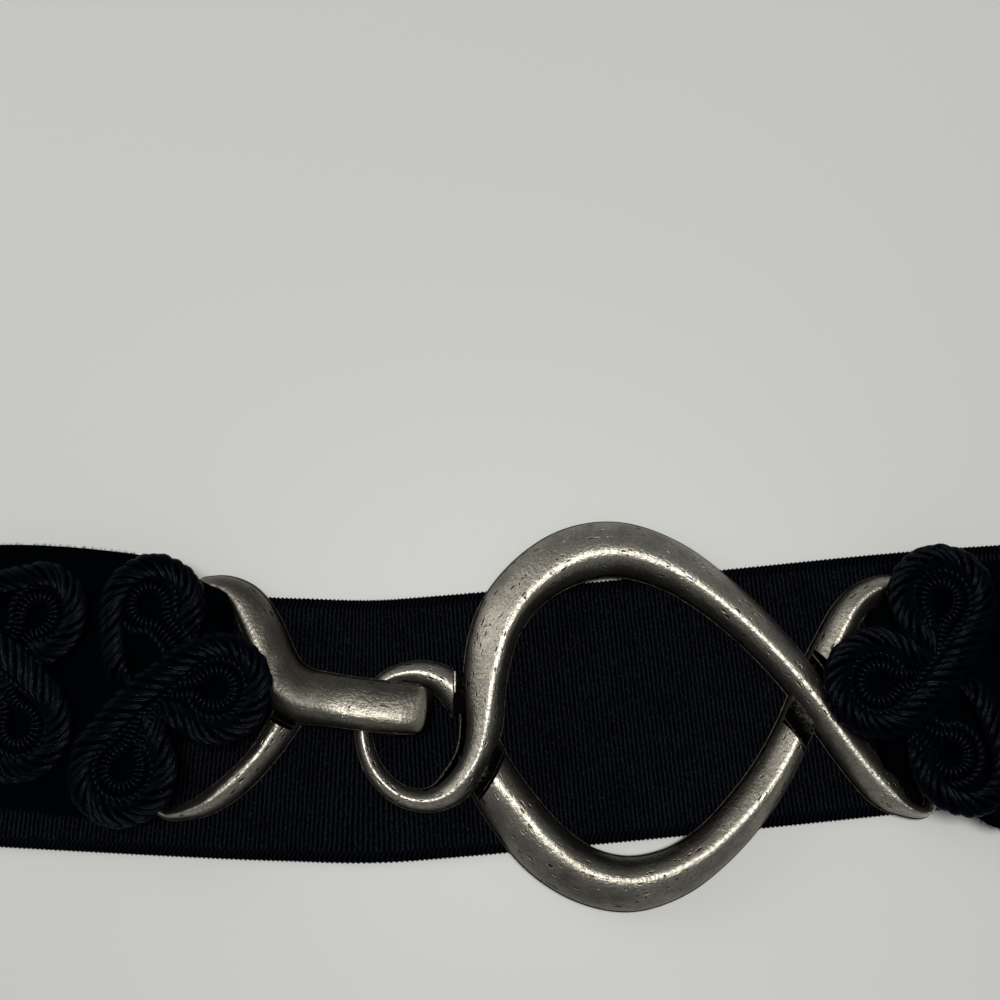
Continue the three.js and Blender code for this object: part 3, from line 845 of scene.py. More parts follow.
def twist(line, strands, strand_radius, wind_radius, lead, flatten, sides, drift=0, swell=1):
    """Tubes wound round a line: each strand is its own closed tube, and no two are alike."""
    way = travelled(line)
    ways = headings(line)
    side = unit(np.cross(UPRIGHT, ways))
    up = np.cross(ways, side)
    swell = np.broadcast_to(swell, len(line))
    round_angle = np.linspace(0, 2 * math.pi, sides, endpoint=False)
    parts = []
    for k in range(strands):
        angle = 2 * math.pi * (way / lead + k / strands)
        angle = angle + drift * np.sin(way / DRIFT_RUN + DRIFT_SHIFT * k)
        height = np.sin(angle) * np.where(np.sin(angle) > 0, flatten, max(flatten, LOWER_HALF))
        outward = np.cos(angle)[:, None] * side + height[:, None] * up
        centre = line + outward * (wind_radius * swell)[:, None]
        along = headings(centre)
        level = unit(outward - (outward * along).sum(axis=1, keepdims=True) * along)
        cross = np.cross(along, level)
        reach = np.cos(round_angle)[:, None, None] * level + np.sin(round_angle)[:, None, None] * cross
        size = strand_radius * (STRAND_SIZES[k % len(STRAND_SIZES)] if strands > 2 else 1)
        rings = centre + reach * (size * swell)[:, None]
        uv = tube_uv(
            np.repeat(travelled(centre)[:, None], sides, axis=1),
            np.repeat((round_angle * strand_radius)[None], len(line), axis=0),
        )
        parts.append((rings.transpose(1, 0, 2).reshape(-1, 3), tube_faces(len(line), sides), uv))
    return together(parts)


def sew(name, parts, cord_finish):
    """Makes one piece of several cords and gives it its finish."""
    piece = build(name, *together(parts))
    piece.data.materials.append(cord_finish)
    return piece


# %% Lay a line on the strap
END_LEAD = -0.2
DIAGONAL_SWELL = 0.22
SWELL_FULL, SWELL_GONE = 0.04, 0.16


def strap_top(side, x):
    """Height of the velvet's upper face, and of the wrapped bar past the strap's end."""
    out = np.maximum(side.out * x, side.out * side.bar)
    return strap_height(side, side.out * out) + STRAP_THICK / 2


def on_strap(side, line, step, rise, dip, dip_run):
    """Lays a flat line on the strap, with its ends tucked down."""
    line = resample(line, step)
    way = travelled(line)
    end = np.minimum(way, way[-1] - way)
    height = strap_top(side, line[:, 0]) + rise - dip * (1 - ease(end, 0, dip_run))
    return np.column_stack([line, height])


def end_swell(line, run, least):
    """Full size along the line, drawn in towards its two ends."""
    way = travelled(line)
    return lerp(least, 1, ease(np.minimum(way, way[-1] - way), END_LEAD * run, run))


def middle_swell(line):
    """A little fuller in the middle of the line, where the rope runs along the diagonal."""
    share = np.abs(travelled(line) / travelled(line)[-1] - 0.5)
    return 1 + DIAGONAL_SWELL * (1 - ease(share, SWELL_FULL, SWELL_GONE))


# %% Velvet patches, black as painted shade, under the two eyes that reach past the straps
PATCH_RADIUS = 6
PATCH_THICK = 0.6
PATCH_CORNERS = 32


def make_patch(side, eye):
    """A round patch that carries an eye of braid in front of the strap's end, and darkens the eye as
    painted shade.
    """
    height = strap_top(side, side.bar) - PATCH_THICK / 2
    patch = primitive(
        f"{side.name}_eye_patch", bpy.ops.mesh.primitive_cylinder_add, vertices=PATCH_CORNERS,
        radius=PATCH_RADIUS * MM, depth=PATCH_THICK * MM, location=Vector((*eye, height)) * MM,
    )
    patch.data.materials.append(velvet)
    print(patch.name, "at height", round(height, 2), "mm")
    return patch


patches = {"left": make_patch(LEFT, TREFOILS[0][3]), "right": make_patch(RIGHT, TREFOILS[3][3])}

# %% Sew on the trefoils
ROPE = dict(strands=6, strand_radius=0.72, wind_radius=1.8, lead=12, flatten=0.26, sides=9, drift=0.2)
FINE = dict(strands=2, strand_radius=0.48, wind_radius=0.44, lead=2.4, flatten=1, sides=7)
GIMP = dict(strands=1, strand_radius=0.33, wind_radius=1.15, lead=0.92, flatten=0.75, sides=5)
LAID_JOINED = dict(step=0.55, rise=2.15, dip=0.5, dip_run=7)
LAID_SINGLE = dict(step=0.55, rise=2.15, dip=1.2, dip_run=7)
LAID_FINE = dict(step=0.2, rise=1.5, dip=0.4, dip_run=3)
LAID_GIMP = dict(step=0.085, rise=1.2, dip=0.3, dip_run=3)
ROPE_ENDS = dict(run=5, least=0.55)
GIMP_ENDS = dict(run=4, least=0.5)

trims = {"left": [], "right": []}
for side, number, *places in TREFOILS:
    leaf = Trefoil(*places)
    line = leaf.joined(ROPE_LINE, opening=-0.1, spread=ROPE_SPREAD, crotch=CROTCH)
    laid = on_strap(side, line, **LAID_JOINED)
    joined = twist(laid, **ROPE, swell=end_swell(laid, **ROPE_ENDS) * middle_swell(laid))
    line = leaf.alone(SINGLE_LINE, near=0.9, far=2.1, ends=LEGS, shift=1)
    laid = on_strap(side, line, **LAID_SINGLE)
    alone = twist(laid, **ROPE, swell=end_swell(laid, **ROPE_ENDS))
    rope = sew(f"{side.name}_rope_{number}", [joined, alone], rope_finish)
    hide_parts(f"{side.name}_trim_{number}")

    lines = [
        leaf.joined(CORD_LINE, opening=0.6, spread=CORD_SPREAD),
        leaf.alone(CORD_LINE, near=0.6, far=0.6, ends=CORD_ENDS),
    ]
    parts = [twist(on_strap(side, line, **LAID_FINE), **FINE) for line in lines]
    fine = sew(f"{side.name}_fine_cord_{number}", parts, gimp_finish)

    laid = [
        on_strap(side, leaf.drop(eye, GIMP_LINE), **LAID_GIMP)
        for eye in (leaf.single, leaf.first, leaf.second)
    ]
    parts = [twist(line, **GIMP, swell=end_swell(line, **GIMP_ENDS)) for line in laid]
    gimp = sew(f"{side.name}_gimp_{number}", parts, gimp_finish)
    trims[side.name] += [rope, fine, gimp]

# %% [markdown]
# ## Stitches
# Each strap is sewn down where it covers the end of the elastic. The picture ends before
# that seam, so it is made as such seams usually are, with two rows of short stitches.
# Dashes in the velvet's finish would lie flat. Real stitches stand up and catch the light,
# so each is a short tube whose ends dip into the velvet.

# %% Stitches that hold the straps to the elastic
STITCH = dict(strands=1, strand_radius=0.22, wind_radius=0.01, lead=5, flatten=1, sides=6)
STITCH_LENGTH = 1.8
STITCH_STEP = 2.5
SEAM_INSET = 3
STITCH_LINE = [
    # share of the stitch's length, up from the velvet
    (0, -0.25), (0.2, 0.1), (0.8, 0.1), (1, -0.25),
]


def make_stitches(side):
    """Two rows of stitches across the strap, over the place where it covers the elastic."""
    parts = []
    for inset in (SEAM_INSET, SEAM - SEAM_INSET):
        x = side.end - side.out * inset
        start = line_y(side.line, x) - BAND_WIDTH / 2 + STITCH_STEP
        for y in np.arange(start, start + BAND_WIDTH - 2 * STITCH_STEP, STITCH_STEP):
            line = smooth_rows([(x, y + share * STITCH_LENGTH, up) for share, up in STITCH_LINE], 3)
            line[:, 2] += strap_top(side, line[:, 0])
            parts.append(twist(line, **STITCH))
    return sew(f"{side.name}_stitches", parts, gimp_finish)


for side in (LEFT, RIGHT):
    trims[side.name].append(make_stitches(side))

for side in (LEFT, RIGHT):
    strap, length, area, pile = straps[side.name]
    patch = patches[side.name]
    for piece in (strap, pile, patch):
        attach(piece, "root")
    for piece in trims[side.name]:
        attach(piece, "root")
    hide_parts(f"{side.name}_front_strap")
    length * MM
    area * MM * MM

# %% [markdown]
# ## Antique silver
# The castings were blackened and then rubbed back: pale on the ridges, brown on the flanks,
# black in the corners, and full of small pits. The pale on the ridges is also a painted
# highlight, and the black in the corners and under the crossings is also painted shade.
# Noise alone would put the polish anywhere. So each bar carries two maps. One, run, is in
# millimetres along and across the bar. The other, the map of wear and shading, says how
# polished and lit and how grimy and shaded each line of the bar's section is, and noise only
# breaks up its edges. The pits are too small for a mesh, so they are dark spots that the
# bump presses in.

# %% Antique silver finish
# The bright silver on the crests is partly a painted highlight, and the near black for the hollows is
# dark patina and painted shade.
DULL_SILVER = (0.098, 0.088, 0.073)
BRIGHT_SILVER = (0.50, 0.472, 0.405)
GRAIN_COLOUR = (0.15, 0.134, 0.11)
PIT_COLOUR = (0.012, 0.011, 0.009)
GRIME_AND_SHADE_COLOUR = (0.0004, 0.00036, 0.00036)

finish = Finish("worn_silver")
on_bar = finish.map("run")
worn_and_lit, grime_and_shade = finish.split(finish.map("wear"))
cloud = finish.noise(0.005, detail=4)
patch = finish.noise(0.0022, detail=5)
grain = finish.noise(0.0003, detail=4)


def scaled(vector, along, across):
    """A map with that many steps of a pattern to the millimetre."""
    return finish.node("ShaderNodeMapping", None, {0: vector, 3: (along, across, 1)})


def spots(where, scale, ragged, core, rim):
    """1 in the cores of scattered spots and 0 outside their rims, which the grain makes ragged."""
    away = finish.node("ShaderNodeTexVoronoi", {"feature": "F1"}, {"Vector": where, "Scale": scale})
    return 1 - finish.between(away + (grain - 0.5) * ragged, core, rim)


brushed = finish.node("ShaderNodeTexNoise", None, {
    "Vector": scaled(on_bar, 0.5, 5), "Scale": 1, "Detail": 4,
})
gouges = spots(scaled(on_bar, 0.32, 1.3), 1, 0.14, 0.15, 0.27)
gouges = gouges * finish.between(patch + grime_and_shade * 0.35, 0.49, 0.55)
nicks = spots(scaled(on_bar, 1.5, 0.22), 1, 0.08, 0.05, 0.10) * finish.between(cloud, 0.52, 0.56)
specks = spots(finish.place(), 800, 0, 0.12, 0.22)
specks = specks * finish.between(cloud + grime_and_shade * 0.35, 0.53, 0.60)
holes = finish.maths("MAXIMUM", finish.maths("MAXIMUM", gouges, nicks), specks)
# Rubbed crests: real wear, with a painted highlight along them.
rubbed_and_lit = worn_and_lit + (cloud - 0.5) * 0.8 + (patch - 0.5) * 0.5 + (brushed - 0.5) * 0.4
polish = finish.between(rubbed_and_lit, 0.10, 1.05)
# Grimy hollows: dark patina and painted shade.
dirt_and_shade = finish.between(grime_and_shade + (grain - 0.5) * 0.3 + (patch - 0.5) * 0.3, 0.20, 0.85)
metal = finish.mix(polish, DULL_SILVER, BRIGHT_SILVER)
metal = finish.mix(finish.between(grain, 0.42, 0.66) * 0.42, metal, GRAIN_COLOUR)
metal = finish.mix(holes * 0.9, metal, PIT_COLOUR)
silver = finish.surface(
    base_color=finish.mix(dirt_and_shade, metal, GRIME_AND_SHADE_COLOUR),
    metallic=1.0,
    roughness=0.295 - 0.05 * polish + 0.17 * grain + 0.10 * brushed - 0.08 * dirt_and_shade,
    normal=finish.bump(grain * 0.9 + brushed * 0.4 + patch * 0.6 - holes, 0.00020, 0.7),
)

# %% [markdown]
# ## Bars of the castings
# Both halves of the buckle are cast bars with a softly ridged back and a thin lip all round
# the underside. A curve with a bevel would give an even bar, but these swell, lean and
# change height along the way. So each is drawn out by hand: a disc is shaped to the first
# section and extruded from station to station, and a level of subdivision smooths it. Where
# one bar passes over another, a channel is cut out of the lower one, and only a thin web of
# metal is left under the crossing.

# %% Section of a bar
ROW_STEPS = 6
LIP = 0.3
HALF_ARCH = [
    # across in half widths, in lips and in mm, up in heights of an arch and of a box, up in mm,
    # polish, which also paints the crest's highlight, and grime, which also paints shade at the
    # foot of the wall and underneath
    (0.18, 0, 0, 0.975, 0.995, 0, 0.95, 0),
    (0.42, 0, 0, 0.87, 0.98, 0, 0.8, 0),
    (0.68, 0, 0, 0.70, 0.93, 0, 0.6, 0),
    (0.87, 0, 0, 0.48, 0.80, 0, 0.5, 0.05),
    (0.96, 0, 0, 0.28, 0.52, 0, 0.4, 0.25),
    (1, 0, 0, 0.1, 0.2, 0.4, 0.1, 1),
    (1, 1, -0.34, 0, 0, 0.35, 0.1, 1),
    (1, 1, -0.16, 0, 0, 0.6, 0.1, 0.32),
    (1, 1, 0, 0, 0, 0.4, 0.3, 0.1),
    (1, 1, -0.06, 0, 0, 0, 0, 1),
]
CREST = (0, 0, 0, 1, 1, 0, 1, 0)
SECTION = [(-across, -lips, -out, *rest) for across, lips, out, *rest in reversed(HALF_ARCH)]
SECTION += [CREST, *HALF_ARCH]
print("a section has", len(SECTION), "corners")

# %% Stations of a bar
DULLEST = 0.3
END_STEPS = 3
END_WAY = (2, 20)


class Bar:
    """Stations of a cast bar: where each is, its left and up, its sizes and its lips."""

    def __init__(self, rows, base=None, lips=None, polish=None, soot=0.0):
        smooth = smooth_rows(rows, ROW_STEPS)
        x, y, width, self.ridge, self.height = smooth.T[:5]
        self.half = width / 2
        self.middle = np.column_stack([x, y, base(x) if base else smooth[:, 5]])
        ways = headings(smooth[:, :2])
        flat = np.zeros_like(x)
        self.polish = np.interp(x, *zip(*polish)) if polish else flat + 1
        self.soot = flat + soot
        self.left = np.column_stack([-ways[:, 1], ways[:, 0], flat])
        self.up = np.tile(UPRIGHT, (len(x), 1))
        self.square = flat
        self.way = travelled(smooth[:, :2])
        self.left_lip, self.right_lip = lips(self.way) if lips else (flat + LIP, flat + LIP)

    def some(self, first, last):
        """Another bar with the stations between two rows."""
        part = Bar.__new__(Bar)
        for name, values in vars(self).items():
            setattr(part, name, values[first * ROW_STEPS:last * ROW_STEPS])
        return part

    def carry_on(self, rows):
        """Goes on from the end with rows that also turn about the bar's left."""
        x, y, z, height, width, turn, square, polish, soot = smooth_rows(rows, END_STEPS).T
        turn = np.radians(turn)
        flat = np.zeros_like(x)
        ahead = np.cross(self.left[-1], UPRIGHT)
        added = {
            "middle": np.column_stack([x, y, z]),
            "left": np.tile(self.left[-1], (len(x), 1)),
            "up": np.sin(turn)[:, None] * ahead + np.cos(turn)[:, None] * UPRIGHT,
            "ridge": self.ridge[-1] * (1 - ease(turn, 0, math.pi / 2)),
            "way": self.way[-1] + np.linspace(*END_WAY, len(x)),
            "half": width / 2, "height": height, "square": square,
            "polish": polish, "soot": soot, "left_lip": flat + LIP, "right_lip": flat + LIP,
        }
        for name, values in added.items():
            setattr(self, name, np.concatenate([getattr(self, name), values]))

    def rings(self, section):
        """Points of the section at every station in metres, and its marks."""
        across, lips, more, arch, box, up, polish, grime_and_shade = np.array(section, float).T
        share = lerp(arch, box, self.square[:, None])
        lip = np.where(lips > 0, self.left_lip[:, None], self.right_lip[:, None])
        out = across * self.half[:, None] + lips * lip + more
        out = out + (self.ridge * self.half)[:, None] * share * (1 - across ** 2)
        rise = self.height[:, None] * share + up
        points = self.middle[:, None] + self.left[:, None] * out[..., None]
        points = points + self.up[:, None] * rise[..., None]
        along = np.broadcast_to(self.way[:, None], out.shape)
        # Grime is patina and painted shade; soot gives rows without any a grime of their own and is
        # the least for the rest.
        soot = self.soot[:, None]
        grime_and_shade = np.where(grime_and_shade > 0, np.maximum(grime_and_shade, soot), soot)
        worn_and_lit = np.maximum(self.polish[:, None], 0)
        crisp = polish ** (1 / np.maximum(worn_and_lit, DULLEST)) * np.sqrt(worn_and_lit)
        return points * MM, np.stack([along, out, crisp, grime_and_shade], axis=-1)


# %% Draw out a bar from station to station
def select_only(piece):
    bpy.ops.object.select_all(action="DESELECT")
    piece.select_set(True)
    bpy.context.view_layer.objects.active = piece


def draw_out(name, rings, marks):
    """Shapes a disc to the first ring, extrudes it from ring to ring and maps its marks."""
    bpy.ops.object.select_all(action="DESELECT")
    bpy.ops.mesh.primitive_circle_add(vertices=len(rings[0]), radius=MM, fill_type="NGON")
    piece = bpy.context.object
    piece.name = name
    bpy.ops.object.mode_set(mode="EDIT")
    mesh = bmesh.from_edit_mesh(piece.data)
    corner = mesh.verts.layers.int.new("corner")
    station = mesh.verts.layers.int.new("station")
    for i, vertex in enumerate(mesh.verts):
        vertex[corner] = i
        vertex.co = rings[0][i]
    for number, (before, ring) in enumerate(zip(rings, rings[1:]), start=1):
        step = ring.mean(axis=0) - before.mean(axis=0)
        bpy.ops.mesh.extrude_region_move(TRANSFORM_OT_translate={"value": step})
        mesh = bmesh.from_edit_mesh(piece.data)
        corner = mesh.verts.layers.int["corner"]
        station = mesh.verts.layers.int["station"]
        for vertex in mesh.verts:
            if vertex.select:
                vertex.co = ring[vertex[corner]]
                vertex[station] = number
    run = mesh.loops.layers.uv.new("run")
    wear = mesh.loops.layers.uv.new("wear")
    for face in mesh.faces:
        for loop in face.loops:
            mark = marks[loop.vert[station], loop.vert[corner]]
            loop[run].uv = mark[:2]
            loop[wear].uv = mark[2:]
    bpy.ops.mesh.select_all(action="SELECT")
    bpy.ops.mesh.normals_make_consistent(inside=False)
    bpy.ops.object.mode_set(mode="OBJECT")
    for layer in ("corner", "station", "UVMap"):
        piece.data.attributes.remove(piece.data.attributes[layer])
    return piece


def apply(piece, kind, **settings):
    """Adds a modifier to a piece and applies it."""
    select_only(piece)
    modifier = piece.modifiers.new("step", kind)
    for key, value in settings.items():
        setattr(modifier, key, value)
    bpy.ops.object.modifier_apply(modifier=modifier.name)


def draw_bar(name, bar):
    """A cast bar, smoothed by one level of subdivision."""
    piece = draw_out(name, *bar.rings(SECTION))
    apply(piece, "SUBSURF", levels=1, render_levels=1)
    print(name, len(piece.data.polygons), "faces")
    return piece


# %% Cut, join and mark the parts of a casting
WEB = 2.6
# The webs are marked near black: patina and painted shade.
WEB_MARKS = (0, 0.86)
BAR_MARKS = (0.3, 0.3)
BAR_FEET = {"left": (-91.9, -16.6), "right": (53.3, -14.2)}
CUTTER = [
    # across in half widths, up in heights, polish, grime; the ledge is painted near black as shade
    # with patina, and its small ridge carries a painted highlight line
    (-1, 0, 0, 1), (-1, 1, 0, 1), (1, 1, 0, 1), (1, 0, 0, 1), (0.93, 0, 0, 1),
    (0.88, 0.03, 0.7, 0.3), (0.83, 0, 0, 0.9), (0.3, 0, 0.1, 0.72), (-0.3, 0, 0.1, 0.72),
    (-0.83, 0, 0, 0.9), (-0.88, 0.03, 0.7, 0.3), (-0.93, 0, 0, 1),
]
CHANNEL = [(across, 0, 0, up, up, 0, *marks) for across, up, *marks in CUTTER]


def mark(piece, polish, grime_and_shade):
    """Gives a block the maps of a bar, the same all over."""
    maps = piece.data.uv_layers
    while maps:
        maps.remove(maps[0])
    for name, value in (("run", (0, 0)), ("wear", (polish, grime_and_shade))):
        maps.new(name=name).data.foreach_set("uv", value * len(piece.data.loops))


def combine(piece, other, operation):
    """Cuts with or adds another object, which is used up."""
    apply(piece, "BOOLEAN", object=other, operation=operation, solver="EXACT")
    bpy.data.objects.remove(other)


def join(piece, other):
    """Makes one object of two solids that reach into each other."""
    select_only(piece)
    other.select_set(True)
    bpy.ops.object.join()


def channel(bar, first, last, left, right):
    """What a bar takes out of the one below it, above the web."""
    cut = bar.some(first, last)
    cut.middle = cut.middle + cut.left * (left - right) / 2 + UPRIGHT * WEB
    cut.half = cut.half + (left + right) / 2
    cut.ridge = cut.ridge * 0
    cut.height = cut.height * 2
    return draw_out("channel", *cut.rings(CHANNEL))


def box_between(low, high):
    """A block of web from one corner to the other, in millimetres."""
    low, high = Vector(low) * MM, Vector(high) * MM
    box = primitive(
        "web", bpy.ops.mesh.primitive_cube_add, size=1, location=(low + high) / 2, scale=high - low,
    )
    mark(box, *WEB_MARKS)
    return box


def hidden_bar(side):
    """The straight round bar that carries a strap."""
    top = Vector((*side.bar_top, BAR_HEIGHT)) * MM
    foot = Vector((*BAR_FEET[side.name], BAR_HEIGHT)) * MM
    bar = primitive(
        "hidden_bar", bpy.ops.mesh.primitive_cylinder_add,
        vertices=24, radius=BAR_RADIUS * MM, depth=(top - foot).length,
        location=(top + foot) / 2, rotation=(top - foot).to_track_quat("Z", "X").to_euler(),
    )
    mark(bar, *BAR_MARKS)
    return bar


# %% [markdown]
# ## Ring buckle
# One long bar makes the small ring, the upper half of the loop and the arm to the foot of
# the hidden bar. A second one makes the lower half and the arm to the bar's top, and the
# first passes over it twice. Booleans cut those two channels and join the bars, because they
# leave one clean skin. The straps' hidden bars are joined without a boolean: each is a
# closed shell that reaches into the arms, where the ropes cover it.

# %% Bars of the ring buckle
RING_STRAND = [
    # x, y, width, ridge as a share of half the width, height
    (-33.4, 0.9, 7, 0, 3.7), (-36.2, 4.2, 6.2, 0, 3.6), (-39.2, 6.3, 5.4, 0, 3.4),
    (-43.6, 7.3, 4.3, 0, 3.1), (-48.8, 6, 3.2, 0, 2.9), (-52.5, 1.6, 2.9, 0, 2.9),
    (-53.2, -4.6, 3, 0, 2.9), (-51, -11, 3.2, 0, 3), (-46, -15.6, 3.5, 0, 3.2),
    (-40, -16.5, 4.2, 0, 3.7), (-35.2, -13.9, 5.3, 0, 4.4), (-31.9, -9, 5.7, -0.1, 5.2),
    (-30.3, -2.6, 6.9, -0.15, 5.8), (-30.1, 6.6, 8.3, -0.42, 6.4), (-27.8, 16.6, 9.2, -0.5, 6.8),
    (-22.1, 24.6, 9.9, -0.42, 7), (-13.6, 30.1, 10.9, -0.3, 7), (-4, 31.6, 10.8, -0.25, 6.9),
    (6, 28.6, 9.8, -0.28, 6.6), (15.2, 22.4, 8.6, -0.28, 6.2), (24, 14.1, 7.8, -0.25, 6),
    (32, 4.5, 7.3, -0.2, 5.9), (39.4, -6.9, 7, -0.1, 5.6), (45.4, -14.6, 6.6, 0, 5.2),
    (49.4, -18, 3.1, 0, 4.7), (52.6, -18.8, 2, 0, 4.2), (54.3, -17.3, 1.8, 0, 4),
    (53.9, -15, 1.8, 0, 4),
]
CROSS_STRAND = [
    # the same
    (-31.6, -6.5, 8.6, 0, 5.6), (-28.9, -12.4, 9.4, 0.1, 6.4), (-24.4, -19, 10, 0.25, 6.8),
    (-18.6, -25.5, 10.3, 0.25, 7), (-11.2, -30.2, 9.9, 0.2, 7), (-3, -31.8, 9.7, 0.2, 6.8),
    (5.2, -29.8, 8.8, 0.2, 6.6), (12.2, -25.4, 8, 0.1, 6.4), (18.6, -19.2, 7.8, 0, 6.2),
    (24.4, -11.8, 7.4, -0.1, 6), (29, -3.8, 6.9, -0.1, 5.8), (33.4, 5.4, 6.9, 0, 5.6),
    (37.4, 12.8, 6.9, 0, 5.4), (41.2, 19.5, 5.9, 0, 5.2), (46.2, 23.4, 5, 0, 4.8),
    (53, 24.8, 3.4, 0, 4.4),
]
CROSS_POLISH_AND_HIGHLIGHT = [
    # x, polish, which also sets how bright the painted highlight on the crest is
    (-28, 0.9), (-14, 0.6), (8, 0.6), (26, 0.8), (40, 1),
]
RING_LIFT = 1.8
LIFT_FROM, LIFT_TO = -22, -46
INNER_LIP = 1.3
WIDENING, NARROWING = (47, 57), (71, 74)


def ring_base(x):
    """The small ring rides on the hook's lip, so the casting lies a little tilted."""
    share = np.clip((x - LIFT_FROM) / (LIFT_TO - LIFT_FROM), 0, 1)
    return CAST_BASE + RING_LIFT * share


def ring_lips(way):
    """The lip is wide inside the small ring, below the start of the loop, and dark there with patina
    and painted shade.
    """
    wide = ease(way, *WIDENING) * (1 - ease(way, *NARROWING))
    return lerp(LIP, INNER_LIP, wide), np.full_like(way, LIP)


main = Bar(RING_STRAND, ring_base, ring_lips)
cross = Bar(CROSS_STRAND, ring_base, polish=CROSS_POLISH_AND_HIGHLIGHT)
print("the ring's bars are", round(main.way[-1]), "and", round(cross.way[-1]), "mm long")

# %% Tip of the small ring
TIP_END = -36.2
TIP_REACH = 14
TIP_MARKS = (0.4, 0.3)
FACING = 0.99


def end_flat(piece, x, reach):
    """Cuts the start of a bar off square, at some x."""
    select_only(piece)
    bpy.ops.object.mode_set(mode="EDIT")
    bpy.ops.mesh.select_all(action="DESELECT")
    mesh = bmesh.from_edit_mesh(piece.data)
    run = mesh.loops.layers.uv["run"]
    for face in mesh.faces:
        face.select = max(loop[run].uv.x for loop in face.loops) < reach
    bmesh.update_edit_mesh(piece.data)
    bpy.ops.mesh.bisect(
        plane_co=(x * MM, 0, 0), plane_no=(1, 0, 0), use_fill=True, clear_outer=True,
    )
    mesh = bmesh.from_edit_mesh(piece.data)
    wear = mesh.loops.layers.uv["wear"]
    for face in mesh.faces:
        if face.select and face.normal.x > FACING:
            for loop in face.loops:
                loop[wear].uv = TIP_MARKS
    bpy.ops.object.mode_set(mode="OBJECT")


ring = draw_bar("ring", main)
end_flat(ring, TIP_END, TIP_REACH)

# %% Web and bright bead between the tip and the loop
LOOP_EDGE = -33
WEB_INSET = 0.3
LOW_WEB = 0.4
TIP_WEB = (-0.3, 7.4)
TIP_BEAD = (3.4, 7.6)
BEAD_START, BEAD_WIDTH = 0.1, 0.45
BEAD_ROUNDING = 0.4
BEAD_MARKS = (0.7, 0.1)

tip_base = main.middle[0, 2]
web_floor = tip_base + WEB_INSET
web_low, web_high = TIP_WEB
web = box_between((TIP_END - 1, web_low, web_floor), (LOOP_EDGE, web_high, tip_base + LOW_WEB * WEB))
combine(ring, web, "UNION")
bead_low, bead_high = TIP_BEAD
bead_x = TIP_END + BEAD_START
bead = box_between((bead_x, bead_low, web_floor), (bead_x + BEAD_WIDTH, bead_high, tip_base + WEB))
mark(bead, *BEAD_MARKS)
apply(bead, "BEVEL", width=BEAD_ROUNDING * BEAD_WIDTH * MM, segments=2)
combine(ring, bead, "UNION")
print("with web and bead", len(ring.data.polygons), "faces")

# %% Cross the bars and join the ring buckle
LOOP_CROSSING = dict(first=9, last=14, left=2, right=2.1)
DIAGONAL_CROSSING = dict(first=19, last=25, left=1.8, right=4.6)

lower = draw_bar("ring_lower", cross)
for crossing in (LOOP_CROSSING, DIAGONAL_CROSSING):
    combine(lower, channel(main, **crossing), "DIFFERENCE")
combine(ring, lower, "UNION")
join(ring, hidden_bar(RIGHT))
print("ring", len(ring.data.polygons), "faces and", [layer.name for layer in ring.data.uv_layers])

# %% [markdown]
# ## Hook buckle
# The hook comes down from the top of its hidden bar, rises over the small ring and turns
# back under it. Its arm leads from below the hook to the bar's foot. The channel in the arm
# is cut by a copy of the hook that stays low. A union of hook and arm would leave one skin
# here too, but it comes out empty, so the arm and the bar are joined to the hook as closed
# shells that reach into each other.

# %% Bars of the hook buckle
HOOK_STRAND = [
    # x, y, width, ridge as a share of half the width, height, height of the underside
    (-86, 24.2, 3.4, 0, 4.4, 1.8), (-81.4, 24, 4.6, -0.2, 4.8, 1.8),
    (-77.6, 21.9, 6.2, -0.4, 5.2, 1.8), (-74.9, 18.4, 7.4, -0.45, 5.6, 1.8),
    (-72.8, 14.4, 8, -0.4, 6, 1.8), (-71.1, 9.7, 8.9, -0.35, 6.3, 1.9),
    (-68.8, 5.7, 9.8, -0.3, 6.4, 2.4), (-65, 3.1, 10.2, -0.3, 6, 3.8),
    (-60, 2.2, 9.6, -0.35, 4.8, 6.1), (-55.4, 1.5, 9.4, -0.4, 4.1, 6.9),
    (-49.6, 0.8, 9.4, -0.4, 4, 6.9), (-43.4, 0.3, 9, -0.2, 3.9, 6.9),
]
HOOK_ARM = [
    # the same
    (-66, 2.4, 6, 0, 5, 1.8), (-69.3, -3.1, 5.7, -0.1, 4.9, 1.8), (-72.6, -8.2, 5, -0.1, 4.8, 1.8),
    (-77, -13, 4.9, -0.1, 4.7, 1.8), (-82.4, -17, 4.2, 0, 4.5, 1.8), (-87.6, -18.9, 2.4, 0, 3.6, 1.8),
    (-90.4, -19.1, 1.7, 0, 3, 1.8), (-92, -17.6, 2, 0, 3.6, 1.8),
]
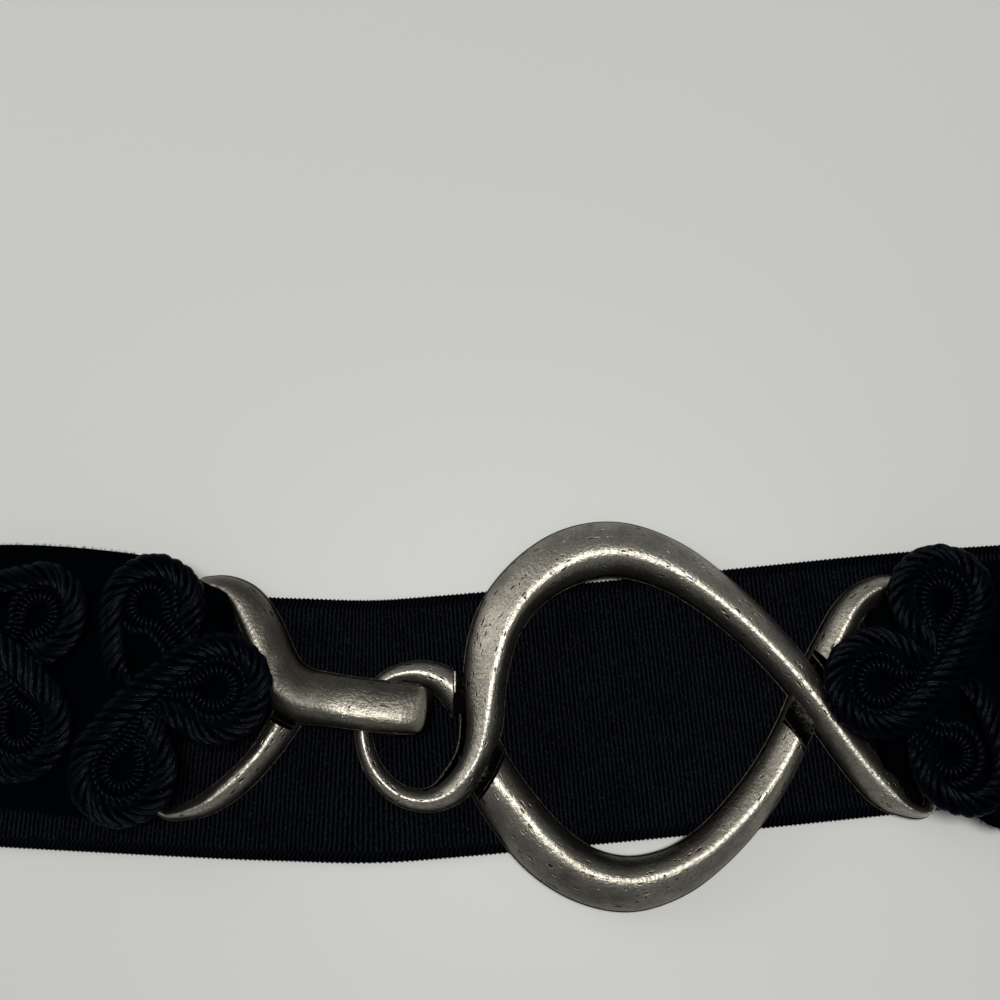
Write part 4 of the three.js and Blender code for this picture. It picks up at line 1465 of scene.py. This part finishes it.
HOOK_END = [
    # x, y, height of the inside, thickness, width, turn in degrees, squareness, polish, grime; the
    # high polish on the nose is a painted highlight, and the grime inside the curl is patina and
    # painted shade
    (-45.9, 0.4, 6.9, 3.7, 9.2, 3, 0.3, 0.5, -0.18),
    (-44, 0.3, 6.8, 3.2, 9, 16, 0.5, 0.5, 0),
    (-43.2, 0.27, 6.6, 2.9, 8.9, 32, 0.7, 1.4, 0),
    (-42.8, 0.25, 6.2, 2.7, 8.8, 48, 0.8, 0.1, 0.9),
    (-42.5, 0.22, 5.6, 2.55, 8.7, 68, 0.9, 0, 1),
    (-42.4, 0.2, 5, 2.4, 8.6, 88, 1, 0, 1),
    (-42.8, 0.2, 4.1, 2, 8.7, 125, 1, 0, 1),
    (-44.4, 0.2, 3.6, 1.7, 9, 160, 1, 0, 1),
    (-48, 0.2, 3.35, 1.5, 9, 180, 1, 0.3, 0.5),
    (-53, 0.3, 3.35, 1.5, 7.8, 180, 1, 0.3, 0.5),
    (-58, 0.3, 3.2, 1.3, 6, 180, 1, 0.3, 0.5),
]
HOOK_POLISH_AND_HIGHLIGHT = [
    # x, polish, which also sets how bright the painted highlight on the crest is
    (-80, 0.38), (-66, 0.46), (-58, 0.5), (-48, 0.46),
]
HOOK_SOOT_AND_SHADE = -0.18
HOOK_CROSSING = dict(first=5, last=9, left=1, right=1.9)

hook_main = Bar(HOOK_STRAND[:-1], polish=HOOK_POLISH_AND_HIGHLIGHT, soot=HOOK_SOOT_AND_SHADE)
hook_main.carry_on(HOOK_END)
low_hook = Bar([row[:5] + (CAST_BASE,) for row in HOOK_STRAND])
hook_rise = hook_main.middle[:, 2].max() - BAND_THICK
print("the hook rises", round(hook_rise, 1), "mm over the elastic")

# %% Cross the bars and join the hook buckle
hook = draw_bar("hook", hook_main)
lower = draw_bar("hook_lower", Bar(HOOK_ARM))
combine(lower, channel(low_hook, **HOOK_CROSSING), "DIFFERENCE")
join(hook, lower)
join(hook, hidden_bar(LEFT))
print("hook", len(hook.data.polygons), "faces")

# %% Finish the castings
SMOOTH_ANGLE = math.radians(38)

for piece, node in ((ring, "ring_buckle"), (hook, "hook_buckle")):
    select_only(piece)
    bpy.ops.object.shade_smooth_by_angle(angle=SMOOTH_ANGLE)
    piece.data.materials.clear()
    piece.data.materials.append(silver)
    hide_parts(node)
    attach(piece, "root")

# %% [markdown]
# ## Size
# Both boxes, the imported model's and the dressed belt's, are measured and printed before
# the script ends. The dressed belt may stand only a little proud of the imported model.

# %% Print the sizes of the two boxes and finish
visual_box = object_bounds()
boxes = {"cad": [list(p) for p in cad_box], "visual": [list(p) for p in visual_box]}
for name, (low, high) in boxes.items():
    print(name, [round((b - a) / MM, 1) for a, b in zip(low, high)], "mm")
